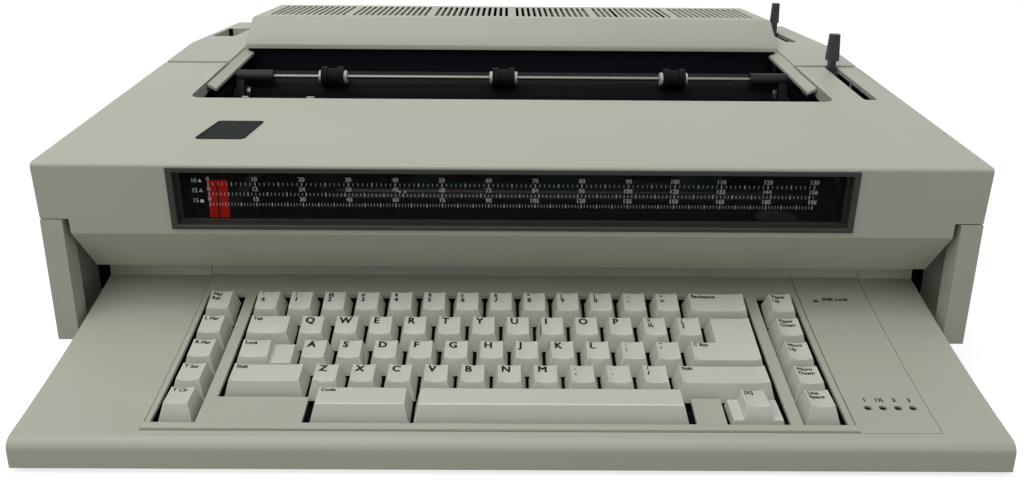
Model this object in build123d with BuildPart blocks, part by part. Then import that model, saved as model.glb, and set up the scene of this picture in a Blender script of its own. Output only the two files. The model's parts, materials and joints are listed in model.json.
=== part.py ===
from build123d import *
import os
from math import cos, hypot, pi, radians, sin, sqrt

# Electronic typewriter. Millimetres, +X to the right, +Y to the rear, +Z up.
# The origin is on the table, under the middle of the machine.

# Overall sizes
width = 516.0
depth = 490.0
foot_height = 3.0
half_width = width / 2
front_y = -depth / 2
rear_y = depth / 2

# Clearances
seam = 0.6
running = 0.05
working = 0.5

# Base housing
wall = 3.0
floor = 3.0
corner_radius = 2.0
pan_inset = 16.0
step_z = 23.4
split_z = 96.0
cheek_setback = 89.0
cheek_thickness = 12.0
pan_half_width = half_width - pan_inset
cheek_front_y = front_y + cheek_setback
floor_z = foot_height + floor

# Keyboard deck, a shallow hollow arc in side view
deck_depth = 130.0
deck_front_z = 17.6
deck_rear_z = 46.5
deck_radius = 925.0
tray_wall = 3.5
tray_skirt = 3.0
tray_nose_radius = 6.0
tray_floor = 2.0
dust_lip_height = 16.5
rebate = 2.0
ledge = 2.0
insert_gap = 0.3
insert_front = 8.4
insert_rear = 1.5

# Keys, whose rows stand on a tighter arc under the deck
pitch = 19.05
cap_gap = 1.5
cap_height = 10.4
cap_lean = 2.2
cap_taper = 5.6
cap_taper_depth = 4.95
dish_depth = 0.8
key_travel = 3.4
key_radius = 284.0
key_slope = 13.6
home_row = (front_y + 62.6, 23.3)
stem_width = 4.0
plate_depth = 3.8
plate_thickness = 1.0
stem_reach = 1.0
board_thickness = 1.2
main_left_x = -149.4
left_column_x = main_left_x - 17.6
right_column_x = main_left_x + 15 * pitch + 17.95
key_base = pitch - cap_gap
dish_half = (key_base - cap_taper) / 2
dish_radius = (dish_half**2 + dish_depth**2) / (2 * dish_depth)
stem_depth = plate_depth + plate_thickness + stem_reach
board_depth = stem_depth + key_travel + 0.3

# Front cover
cover_setback = 87.5
cover_top_z = 129.0
face_setback = 2.5
face_bottom_z = 88.0
chin_setback = 26.5
chin_bottom_z = 58.6
deck_slope = 0.0735
arm_width = 46.0
opening_front = 116.5
opening_corner = 8.0
rim_drop = 8.0
rim_thickness = 2.0
hinge_y = 44.0
barrel_radius = 4.0
hinge_pin_radius = 1.5
knuckle_inset = 8.0
knuckle_width = 8.0
opening_half_width = half_width - arm_width
cover_face_top = (front_y + cover_setback, cover_top_z)
cover_face_bottom = (cover_face_top[0] + face_setback, face_bottom_z)
chin_bottom = (cover_face_top[0] + chin_setback, chin_bottom_z)
opening_front_y = cover_face_top[0] + opening_front
knuckle_x = (opening_half_width + knuckle_inset, opening_half_width + knuckle_inset + knuckle_width)

# Platen
platen_y = 63.0
platen_z = 115.0
platen_radius = 19.0
sleeve_thickness = 5.0
journal_radius = 4.0
frame_thickness = 2.5
frame_x = opening_half_width + 2.0
platen_half_length = frame_x - 17.0
platen_core_radius = platen_radius - sleeve_thickness

# Rear cover and hood
bend_y = platen_y + 42.0
rear_edge_y = rear_y - 9.0
rear_edge_z = 145.0
rear_edge_drop = 9.0
hood_front = (platen_y + 28.0, 150.0)
hood_top_front = (platen_y + 55.0, 168.0)
hood_top_rear = (rear_y - 36.0, 165.5)
hood_rear = (rear_y - 18.0, 145.2)
hood_lip = 3.5
hood_wall = 3.0
hood_fillet = 3.0
vent_groups = 6
vents_in_group = 13
vent_group_pitch = 68.0
vent_pitch = 4.9
vent_width = 2.5
vent_length = 66.0
flange_reach = 6.0
flange_drop = 3.0
flange_thickness = 2.0
flange_front_y = -5.0

# Scale window in the cover's face
bezel_width = 373.0
bezel_height = 36.0
window_width = 361.0
window_height = 27.0
bezel_depth = 7.0
bezel_proud = 1.0
bezel_shoulder = 2.0
bezel_fit = 0.2
glass_depth = 5.0
glass_thickness = 2.0
window_centre_z = 109.0

# Levers and their slots
lever_thickness = 4.0
lever_width = 7.0
slot_width = 9.0
slot_corner = 2.0
stub_radius = 3.0
bail_lever_x = half_width - 20.5
bail_lever_pivot = (hinge_y - 39.0, 60.0)
bail_slot_front_y = hinge_y - 80.0
bail_lever_top_y = hinge_y - 1.5
bail_knob_z = (149.5, 169.0)
bail_knob_sizes = (8.6, 6.8)
release_lever_x = half_width - 23.0
release_slot = (rear_y - 113.0, rear_y - 53.0)
release_pivot = (rear_y - 83.0, 75.0)
release_lever_top_y = rear_y - 58.5
release_knob_z = (156.0, 173.0)
release_knob_sizes = (7.0, 6.0)
recess_depth = 9.0
recess_wall = 2.0
recess_x = (-half_width + 4.0, -half_width + 23.0)
recess_y = (rear_y - 102.0, rear_y - 53.0)

# Paper bail
bail_rod_radius = 1.5
bail_roller_radius = 7.6
bail_roller_core = 6.3
bail_roller_width = 16.4
bail_rib_width = 4.5
bail_flange_radius = 4.75
bail_flange_width = 2.0
bail_roller_x = (-133.5, -6.5, 120.5)
bail_gap = 0.27
bail_boss_radius = 4.8
bail_arm_half = 4.0
bail_arm_x = (frame_x - 15.0, frame_x - 9.0)
bail_boss_x = bail_arm_x[0] - 21.0
bail_reach = (platen_radius + bail_roller_radius + bail_gap) * sqrt(0.5)
bail_y = platen_y - bail_reach
bail_z = platen_z + bail_reach
bail_pivot = (platen_y - 33.0, platen_z - 23.0)

# Paper pan and feed rollers
pan_gap = 3.0
pan_thickness = 1.2
pan_ends = (-150.0, -35.0)
feed_roller_radius = 7.5
feed_roller_width = 24.0
feed_roller_pitch = 90.0
feed_shaft_radius = 2.5
feed_gap = 0.1
ear_thickness = 2.0
pan_radius = platen_radius + pan_gap
pan_half_length = platen_half_length - 2.0
feed_axis_z = platen_z - platen_radius - feed_roller_radius - feed_gap
ear_x = (pan_half_length - 7.0, pan_half_length - 7.0 + ear_thickness)
feed_roller_x = [feed_roller_pitch * (index - 1.5) for index in range(4)]

# Platen drive
gear_module = 1.0
platen_teeth = 42
pinion_teeth = 14
gear_face = 4.0
motor_shaft_radius = 2.0
motor_length = 22.0
motor_radius = 17.0
gear_x = frame_x + frame_thickness + 1.5
feed_motor_x = (gear_x + gear_face + 2.0, gear_x + gear_face + 2.0 + motor_length)

# Carrier
rail_radius = 5.0
front_rail = (platen_y - 85.0, platen_z - 55.0)
rear_rail = (platen_y - 43.0, platen_z - 65.0)
carrier_half_width = 35.0
carrier_cheek = 8.0
wheel_radius = 31.0
wheel_hub_radius = 12.0
wheel_bore = 3.0
wheel_thickness = 1.2
wheel_petals = 48
petal_width = 1.3
hammer_radius = 2.5
hammer_travel = 2.2
hammer_gap = 0.4
cartridge_half_width = 34.0
cartridge_height = 16.0
pointer_width = 11.0
pointer_height = 21.0
pointer_thickness = 1.2
pointer_clearance = 1.5
scale_zero_x = 31.0 - platen_half_length
wheel_y = platen_y - platen_radius - 5.0
wheel_z = platen_z - 30.0
hammer_z = platen_z - 3.0
carrier_top_z = wheel_z + 9.0

# Carrier drive
belt_z = 33.0
belt_height = 6.0
belt_thickness = 1.5
pulley_radius = 12.0
pulley_flange = 2.5
pulley_y = 0.0
pulley_shaft_radius = 2.5
pulley_x = frame_x - 20.0

os.makedirs("parts", exist_ok=True)


def deck_z(y):
    """Height of the cover's top surface above the table at a depth y."""
    return cover_face_top[1] + deck_slope * (y - cover_face_top[0])


deck_rear_y = front_y + deck_depth
deck_rise = deck_rear_z - deck_front_z
deck_chord = hypot(deck_depth, deck_rise)
deck_centre_gap = sqrt(deck_radius**2 - (deck_chord / 2) ** 2)
deck_arc = (
    (front_y + deck_rear_y) / 2 - deck_rise / deck_chord * deck_centre_gap,
    (deck_front_z + deck_rear_z) / 2 + deck_depth / deck_chord * deck_centre_gap,
    deck_radius,
)
key_arc = (
    home_row[0] - key_radius * sin(radians(key_slope)),
    home_row[1] + key_radius * cos(radians(key_slope)),
    key_radius,
)
pin_z = deck_z(hinge_y) - barrel_radius * sqrt(1 + deck_slope**2)
split_upper_z = split_z + seam
cheek_inner_x = half_width - cheek_thickness
inner_half_width = half_width - wall


def arc_z(arc, y, below=0.0):
    """Height at y of an arc that hollows upwards, or of the arc that lies below it."""
    centre_y, centre_z, radius = arc
    return centre_z - sqrt((radius + below) ** 2 - (y - centre_y) ** 2)


def block(x, y, z, mode=Mode.ADD):
    """Add or cut a box that spans three (low, high) ranges."""
    with Locations((sum(x) / 2, sum(y) / 2, sum(z) / 2)):
        Box(x[1] - x[0], y[1] - y[0], z[1] - z[0], mode=mode)


def mirrored(low, high, side):
    """Range from low to high on the right, or its mirror image on the left."""
    return (low, high) if side > 0 else (-high, -low)


def side_profile(points, x, mode=Mode.ADD):
    """Extrude a closed side outline of (y, z) points over the range x."""
    with BuildSketch(Plane.YZ.offset(x[0])) as outline:
        with BuildLine():
            Polyline(*points, close=True)
        make_face()
    extrude(outline.sketch, amount=x[1] - x[0], mode=mode)


def rod(radius, x, y, z, mode=Mode.ADD):
    """Add or cut a round bar along X over the range x."""
    with Locations(((x[0] + x[1]) / 2, y, z)):
        Cylinder(radius, x[1] - x[0], rotation=(0, 90, 0), mode=mode)


def post(radius, x, y, z, mode=Mode.ADD):
    """Add or cut an upright round post over the range z."""
    with Locations((x, y, (z[0] + z[1]) / 2)):
        Cylinder(radius, z[1] - z[0], mode=mode)


def spindle(radius, x, y, z, mode=Mode.ADD):
    """Add or cut a round bar along Y over the range y."""
    with Locations((x, (y[0] + y[1]) / 2, z)):
        Cylinder(radius, y[1] - y[0], rotation=(90, 0, 0), mode=mode)


def arc_strip(arc, x, y, below, mode=Mode.ADD):
    """Add or cut a curved plate that lies between two depths below an arc."""
    middle = sum(y) / 2
    top, bottom = below
    with BuildSketch(Plane.YZ.offset(x[0])) as strip:
        with BuildLine():
            upper = [(at, arc_z(arc, at, top)) for at in (y[0], middle, y[1])]
            lower = [(at, arc_z(arc, at, bottom)) for at in (y[1], middle, y[0])]
            ThreePointArc(*upper)
            Line(upper[-1], lower[0])
            ThreePointArc(*lower)
            Line(lower[-1], upper[0])
        make_face()
    extrude(strip.sketch, amount=x[1] - x[0], mode=mode)


def slot(x, y, mode=Mode.SUBTRACT):
    """Cut an upright slot with rounded corners through the covers' top."""
    with BuildSketch(Plane.XY.offset(split_upper_z + 20)) as mouth:
        with Locations((sum(x) / 2, sum(y) / 2)):
            RectangleRounded(x[1] - x[0], y[1] - y[0], slot_corner)
    extrude(mouth.sketch, amount=60, mode=mode)


def finish(name, part):
    """Label a finished piece and write it to its own file."""
    part.label = name
    export_step(part, f"parts/{name}.step")


# Base housing: the pan, the upper side walls and the two front cheeks

tray_rear_y = deck_rear_y + working
mouth_y = cheek_front_y + cheek_thickness
above_split = split_z + 1
screw_head_radius = 3.5
screw_head_height = 1.8
screw_radius = 1.6
screw_depth = 7.0
boss_radius = 5.0
boss_height = 8.0
boss_inset = 14.0
side_screw_x = pan_half_width - boss_inset
screw_places = [(side * side_screw_x, y) for side in (-1, 1) for y in (front_y + 175, rear_y - 185)]
screw_places += [(-70, rear_y - 30), (70, rear_y - 30)]
inlet_x = -150.0
inlet_z = 40.0
inlet_size = (28.0, 21.0)
inlet_flange = (48.0, 24.0)
switch_y = rear_y - 55.0
switch_z = 60.0
switch_size = (19.0, 12.0)
switch_wall = 1.5
switch_depth = 12.0
switch_pin_radius = 1.5
idler_top_z = belt_z + belt_height + 2.0

with BuildPart() as base_housing:
    block((-half_width, half_width), (cheek_front_y, rear_y), (step_z, split_z))
    block((-pan_half_width, pan_half_width), (tray_rear_y, rear_y), (foot_height, step_z + floor))
    fillet(base_housing.edges().filter_by(Axis.Z).group_by(Axis.Y)[-1], corner_radius)
    block(
        (-inner_half_width, inner_half_width),
        (mouth_y, rear_y - wall),
        (step_z + floor, above_split),
        Mode.SUBTRACT,
    )
    block(
        (-cheek_inner_x, cheek_inner_x),
        (cheek_front_y - 1, mouth_y),
        (step_z - 1, above_split),
        Mode.SUBTRACT,
    )
    tray_space = pan_half_width + working
    block((-tray_space, tray_space), (mouth_y - 1, tray_rear_y), (step_z - 1, above_split), Mode.SUBTRACT)
    pan_inner = pan_half_width - wall
    block(
        (-pan_inner, pan_inner),
        (tray_rear_y, rear_y - wall),
        (floor_z, step_z + floor + 1),
        Mode.SUBTRACT,
    )
    # Tongue of the floor that runs forward under the keyboard.
    tongue_half = pan_half_width - tray_skirt - working
    block(
        (-tongue_half, tongue_half),
        (front_y + tray_wall + working, tray_rear_y),
        (foot_height, foot_height + tray_floor),
    )
    # Bosses that take the screws, and the post that carries the idler pulley.
    for x, y in screw_places:
        post(boss_radius, x, y, (foot_height, floor_z + boss_height))
        post(screw_radius, x, y, (0, foot_height + screw_depth), Mode.SUBTRACT)
    post(boss_radius + 2, -pulley_x, pulley_y, (foot_height, belt_z - 2))
    post(pulley_shaft_radius, -pulley_x, pulley_y, (floor_z, idler_top_z))
    # Power inlet cut-out in the rear wall.
    with Locations((inlet_x, rear_y, inlet_z)):
        Box(inlet_size[0], 4 * wall, inlet_size[1], mode=Mode.SUBTRACT)
    # Open box on the left wall that holds the power switch.
    box_y = switch_size[0] / 2
    box_z = switch_size[1] / 2
    block(
        (-half_width, -half_width + switch_depth),
        (switch_y - box_y - switch_wall, switch_y + box_y + switch_wall),
        (switch_z - box_z - switch_wall, switch_z + box_z + switch_wall),
    )
    block(
        (-half_width - 1, -half_width + switch_depth - switch_wall),
        (switch_y - box_y, switch_y + box_y),
        (switch_z - box_z, switch_z + box_z),
        Mode.SUBTRACT,
    )
    post(
        switch_pin_radius + running,
        -half_width + switch_depth / 2,
        switch_y,
        (switch_z - box_z - switch_wall - 1, switch_z + box_z + switch_wall + 1),
        Mode.SUBTRACT,
    )
finish("base_housing", base_housing.part)

with BuildPart() as rubber_feet:
    for x in (-half_width + 43, half_width - 43):
        for y in (front_y + 23, rear_y - 33):
            with Locations((x, y, foot_height / 2)):
                Cone(8.0, 9.0, foot_height)
finish("rubber_feet", rubber_feet.part)

with BuildPart() as housing_screws:
    for x, y in screw_places:
        post(screw_head_radius, x, y, (foot_height - screw_head_height, foot_height))
        post(screw_radius, x, y, (foot_height, foot_height + screw_depth))
finish("housing_screws", housing_screws.part)

# Keyboard tray: a hollow wing with a rounded front edge and a window for the inserts

bezel_x = (left_column_x - 13.8, right_column_x + 14.3)
panel_x = (bezel_x[1] + seam, bezel_x[1] + seam + 40.2)
insert_y = (front_y + insert_front, deck_rear_y - insert_rear)
tray_foot_z = foot_height + tray_floor
tray_foot_radius = 4.0

with BuildPart() as keyboard_tray:
    deck_middle_y = (front_y + deck_rear_y) / 2
    with BuildSketch(Plane.YZ.offset(-pan_half_width)):
        with BuildLine():
            ThreePointArc(
                (front_y, deck_front_z),
                (deck_middle_y, arc_z(deck_arc, deck_middle_y)),
                (deck_rear_y, deck_rear_z),
            )
            Polyline(
                (deck_rear_y, deck_rear_z),
                (deck_rear_y, foot_height),
                (front_y, foot_height),
                (front_y, deck_front_z),
            )
        make_face()
    extrude(amount=2 * pan_half_width)
    nose = keyboard_tray.edges().filter_by(Axis.X).group_by(Axis.Y)[0].sort_by(Axis.Z)[-1]
    fillet(nose, tray_nose_radius)
    arc_strip(
        deck_arc,
        (tray_skirt - pan_half_width, pan_half_width - tray_skirt),
        (front_y + tray_wall, deck_rear_y + 5),
        (tray_wall, 2 * deck_rear_z),
        Mode.SUBTRACT,
    )
    # Dust lip that closes the gap behind the deck.
    block(
        (-pan_half_width, pan_half_width),
        (deck_rear_y - 2, deck_rear_y),
        (deck_rear_z - 4, deck_rear_z + dust_lip_height),
    )
    # Feet that stand on the floor of the base.
    for x in (-pan_half_width + boss_inset, pan_half_width - boss_inset):
        for y in (front_y + 19, deck_rear_y - 17):
            post(tray_foot_radius, x, y, (tray_foot_z, arc_z(deck_arc, y, tray_wall) + 1))
    # Window with a rebate that the key bezel and the lamp panel rest in.
    insert_x = (bezel_x[0] - insert_gap, panel_x[1] + insert_gap)
    rebate_y = (insert_y[0] - insert_gap, insert_y[1] + insert_gap)
    arc_strip(deck_arc, insert_x, rebate_y, (-6, rebate), Mode.SUBTRACT)
    arc_strip(
        deck_arc,
        (insert_x[0] + ledge, insert_x[1] - ledge),
        (rebate_y[0] + ledge, rebate_y[1] - ledge),
        (0, tray_wall + 3),
        Mode.SUBTRACT,
    )
finish("keyboard_tray", keyboard_tray.part)

# Keys: rows, columns and the caps on their stems


def row_plane(row):
    """Plane of a key row's base, counted from the rear, whose normal is its travel."""
    angle = radians(key_slope) + (2 - row) * pitch / key_radius
    y = key_arc[0] + key_radius * sin(angle)
    z = key_arc[1] - key_radius * cos(angle)
    return Plane(origin=(0, y, z), x_dir=(1, 0, 0), z_dir=(0, -sin(angle), cos(angle)))


def unit_x(units):
    """Place along the rows of a point that is some key pitches from the left."""
    return main_left_x + units * pitch


char_rows = {
    "number_row_keys": (0, 0.5, 13),
    "upper_row_keys": (1, 2.0, 12),
    "home_row_keys": (2, 2.25, 11),
    "lower_row_keys": (3, 2.75, 10),
}
wide_keys = {
    "backspace_key": (0, 13.0, 15.0),
    "tab_key": (1, 0.0, 1.5),
    "lock_key": (2, 0.0, 1.75),
    "left_shift_key": (3, 0.0, 2.25),
    "right_shift_key": (3, 12.25, 15.0),
    "code_key": (4, 2.5, 5.2),
    "space_bar": (4, 5.2, 12.5),
    "correction_key": (4, 13.5, 15.0),
}
column_keys = {
    left_column_x: (
        "margin_release_key",
        "left_margin_key",
        "right_margin_key",
        "tab_set_key",
        "tab_clear_key",
    ),
    right_column_x: (
        "paper_up_key",
        "paper_down_key",
        "micro_up_key",
        "micro_down_key",
        "line_space_key",
    ),
}


def key_stem(x=0.0, top=0.0):
    """Square stem under the cap being built, whose base is at the height top."""
    with BuildSketch(Plane.XY.offset(top)) as stem:
        with Locations((x, 0)):
            Rectangle(stem_width, stem_width)
    extrude(stem.sketch, amount=-stem_depth - top)


def tapered_cap(cap_width, top, x=0.0):
    """Add a cap that narrows to its top, most of all at the front."""
    share = top / cap_height
    with BuildSketch() as lower:
        with Locations((x, 0)):
            Rectangle(cap_width, key_base)
    with BuildSketch(Plane.XY.offset(top)) as upper:
        with Locations((x, cap_lean * share)):
            Rectangle(cap_width - cap_taper * share, key_base - cap_taper_depth * share)
    loft([lower.sketch.face(), upper.sketch.face()], ruled=True)


def scoop(cap_width, x=0.0, y=cap_lean, length=pitch):
    """Hollow the top of a cap so that it curves up to its left and right ends."""
    reach = (cap_width - key_base) / 2
    centre_z = cap_height - dish_depth + dish_radius
    with Locations((x - reach, y, centre_z), (x + reach, y, centre_z)):
        Cylinder(dish_radius, length, rotation=(90, 0, 0), mode=Mode.SUBTRACT)
    if reach > 0:
        with Locations((x, y, centre_z)):
            Box(2 * reach, length, 2 * dish_radius, mode=Mode.SUBTRACT)


with BuildPart() as character_key:
    tapered_cap(key_base, cap_height)
    scoop(key_base)
    key_stem()

for name, (row, first_unit, count) in char_rows.items():
    place = row_plane(row).location
    with BuildPart() as bank:
        with Locations(*[place * Location((unit_x(first_unit + index), 0, 0)) for index in range(count)]):
            add(character_key.part)
    finish(name, bank.part)

for column_x, names in column_keys.items():
    for row, name in enumerate(names):
        with BuildPart() as column_key:
            with Locations(row_plane(row).location * Location((column_x, 0, 0))):
                add(character_key.part)
        finish(name, column_key.part)

lock_shelf = 6.6
correction_shelf = 4.0
raised_width = 1.1 * pitch
for name, (row, start, end) in wide_keys.items():
    cap_width = (end - start) * pitch - cap_gap
    with BuildPart() as wide_key:
        if name == "lock_key":
            raised_x = (raised_width - cap_width) / 2
            tapered_cap(cap_width, lock_shelf)
            tapered_cap(raised_width, cap_height, raised_x)
            scoop(raised_width, raised_x)
        elif name == "correction_key":
            tapered_cap(cap_width, correction_shelf)
            tapered_cap(key_base, cap_height)
            scoop(key_base)
        else:
            tapered_cap(cap_width, cap_height)
        if name not in ("lock_key", "correction_key", "code_key", "space_bar"):
            scoop(cap_width)
        key_stem()
    with BuildPart() as placed_key:
        with Locations(row_plane(row).location * Location((unit_x((start + end) / 2), 0, 0))):
            add(wide_key.part)
    finish(name, placed_key.part)

return_units = (12.75, 13.5, 15.0)
return_row = 1.5
return_stem_x = unit_x(14.25)
return_lift = 0.8


def return_outline(share):
    """Corners of the return key: wide in the home row and narrow in the row behind it."""
    inset = cap_taper / 2 * share
    front_inset = (cap_taper_depth / 2 + cap_lean) * share
    rear_inset = (cap_taper_depth / 2 - cap_lean) * share
    left_lower, left_upper = [unit_x(units) + cap_gap / 2 + inset for units in return_units[:2]]
    right = unit_x(return_units[2]) - cap_gap / 2 - inset
    front = -pitch + cap_gap / 2 + front_inset
    step = -cap_gap / 2 - rear_inset
    rear = pitch - cap_gap / 2 - rear_inset
    return [
        (left_lower, front),
        (right, front),
        (right, rear),
        (left_upper, rear),
        (left_upper, step),
        (left_lower, step),
    ]


with BuildPart() as return_cap:
    with BuildSketch(Plane.XY.offset(return_lift)):
        with BuildLine():
            Polyline(*return_outline(return_lift / cap_height), close=True)
        make_face()
    with BuildSketch(Plane.XY.offset(cap_height)):
        with BuildLine():
            Polyline(*return_outline(1.0), close=True)
        make_face()
    loft(ruled=True)
    return_width = (return_units[2] - return_units[0]) * pitch - cap_gap
    scoop(return_width, unit_x((return_units[0] + return_units[2]) / 2), 0, 3 * pitch)
    key_stem(return_stem_x, return_lift)
with BuildPart() as return_key:
    with Locations(row_plane(return_row).location):
        add(return_cap.part)
finish("return_key", return_key.part)

# Plates under the keys

key_places = []
for row, first_unit, count in char_rows.values():
    key_places += [(row, unit_x(first_unit + index)) for index in range(count)]
for row, start, end in wide_keys.values():
    key_places.append((row, unit_x((start + end) / 2)))
key_places += [(row, x) for row in range(5) for x in column_keys]
key_places.append((return_row, return_stem_x))

lamp_radius = 1.5
lamp_sink = 0.6
lamp_pitch = 7.6
lamp_row = (panel_x[0] + 10.1, front_y + 25.8)
lamp_places = [(panel_x[0] + 9.1, deck_rear_y - 21)]
lamp_places += [(lamp_row[0] + lamp_pitch * index, lamp_row[1]) for index in range(4)]
plate_x = (bezel_x[0] - 1.2, panel_x[1] + 5.6)
plate_y = (front_y + 14.5, deck_rear_y - 16.5)
plate_leg = 4.0
board_x = (plate_x[0] + plate_leg + working, plate_x[1] - plate_leg - working)
board_y = (plate_y[0] + 2.5, plate_y[1])
spacer = 5.0
stem_play = 0.5

with BuildPart() as key_plate:
    arc_strip(key_arc, plate_x, plate_y, (plate_depth, plate_depth + plate_thickness))
    for row in sorted({place[0] for place in key_places}):
        row_xs = [(x, 0) for place_row, x in key_places if place_row == row]
        with BuildSketch(row_plane(row).offset(-stem_depth)) as stem_holes:
            with Locations(*row_xs):
                Rectangle(stem_width + 2 * stem_play, stem_width + 3 * stem_play)
        extrude(stem_holes.sketch, amount=stem_depth, mode=Mode.SUBTRACT)
    for x, y in lamp_places:
        post(lamp_radius + working, x, y, (0, deck_rear_z), Mode.SUBTRACT)
    for x in (plate_x[0], plate_x[1] - plate_leg):
        for y in (plate_y[0] + 1, plate_y[1] - plate_leg - 1):
            top = arc_z(key_arc, y + plate_leg / 2, plate_depth + plate_thickness / 2)
            block((x, x + plate_leg), (y, y + plate_leg), (tray_foot_z, top))
    spacer_depth = (plate_depth + plate_thickness / 2, board_depth)
    for x in (board_x[0], (board_x[0] + board_x[1] - spacer) / 2, board_x[1] - spacer):
        for y in (board_y[0] + 0.5, board_y[1] - spacer - 0.5):
            arc_strip(key_arc, (x, x + spacer), (y, y + spacer), spacer_depth)
finish("key_plate", key_plate.part)

# Bezel round the keys, and the lamp panel beside it

lip_height = 1.2
lip_width = 3.9
column_gap = 2.25
row_gap = 2.8
front_gap_y = insert_y[0] + lip_width + 0.1
rear_gap_y = deck_rear_y - 18.4
row_edge_y = home_row[0] - 30.9
main_gap_x = (unit_x(0) - cap_gap / 2, unit_x(15) + cap_gap / 2)
code_gap_x = unit_x(wide_keys["code_key"][1]) + cap_gap / 2 - row_gap
space_gap_x = unit_x(wide_keys["space_bar"][2]) - cap_gap / 2 + row_gap
correction_gap_x = unit_x(wide_keys["correction_key"][1]) + cap_gap / 2 - row_gap

with BuildPart() as key_bezel:
    arc_strip(deck_arc, bezel_x, insert_y, (0, rebate))
    arc_strip(deck_arc, bezel_x, (insert_y[0], insert_y[0] + lip_width), (-lip_height, rebate / 2))
    key_gaps = [
        ((x - key_base / 2 - column_gap, x + key_base / 2 + column_gap), (front_gap_y, rear_gap_y))
        for x in column_keys
    ]
    key_gaps += [
        (main_gap_x, (row_edge_y, rear_gap_y)),
        ((code_gap_x, space_gap_x), (front_gap_y, row_edge_y + 1)),
        ((correction_gap_x, main_gap_x[1]), (front_gap_y, row_edge_y + 1)),
    ]
    for gap_x, gap_y in key_gaps:
        arc_strip(deck_arc, gap_x, gap_y, (-3, 5), Mode.SUBTRACT)
finish("key_bezel", key_bezel.part)

with BuildPart() as indicator_panel:
    arc_strip(deck_arc, panel_x, insert_y, (0, rebate))
    with BuildSketch(Plane.XY) as lamp_holes:
        with Locations(*lamp_places):
            Ellipse(lamp_radius + 0.5, lamp_radius + 0.1)
    extrude(lamp_holes.sketch, amount=deck_rear_z, mode=Mode.SUBTRACT)
finish("indicator_panel", indicator_panel.part)

with BuildPart() as indicator_lamps:
    for x, y in lamp_places:
        post(lamp_radius, x, y, (tray_foot_z, arc_z(deck_arc, y) - lamp_sink))
    arc_strip(key_arc, board_x, plate_y, (board_depth, 2 * deck_rear_z), Mode.SUBTRACT)
finish("indicator_lamps", indicator_lamps.part)

# Front cover: a hinged lid with side walls, a leaning face and a sloping chin

face_lean = (cover_face_top[0] - cover_face_bottom[0]) / (cover_face_top[1] - cover_face_bottom[1])


def face_y(z):
    """Depth of the cover's leaning face at height z."""
    return cover_face_bottom[0] + face_lean * (z - cover_face_bottom[1])


chin_run = chin_bottom[0] - cover_face_bottom[0]
chin_drop = cover_face_bottom[1] - chin_bottom[1]
chin_length = hypot(chin_run, chin_drop)
chin_inner = (chin_bottom[0] + wall * chin_drop / chin_length, chin_bottom[1] + wall * chin_run / chin_length)
chin_half_width = pan_half_width + working
face_plane = Plane(
    origin=(0, face_y(window_centre_z), window_centre_z),
    x_dir=(1, 0, 0),
    z_dir=(0, -1, face_lean),
)
rim_x = opening_half_width + rim_thickness
rim_bottom_z = deck_z(opening_front_y) - wall - rim_drop
rim_rear_y = hinge_y - 8

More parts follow.
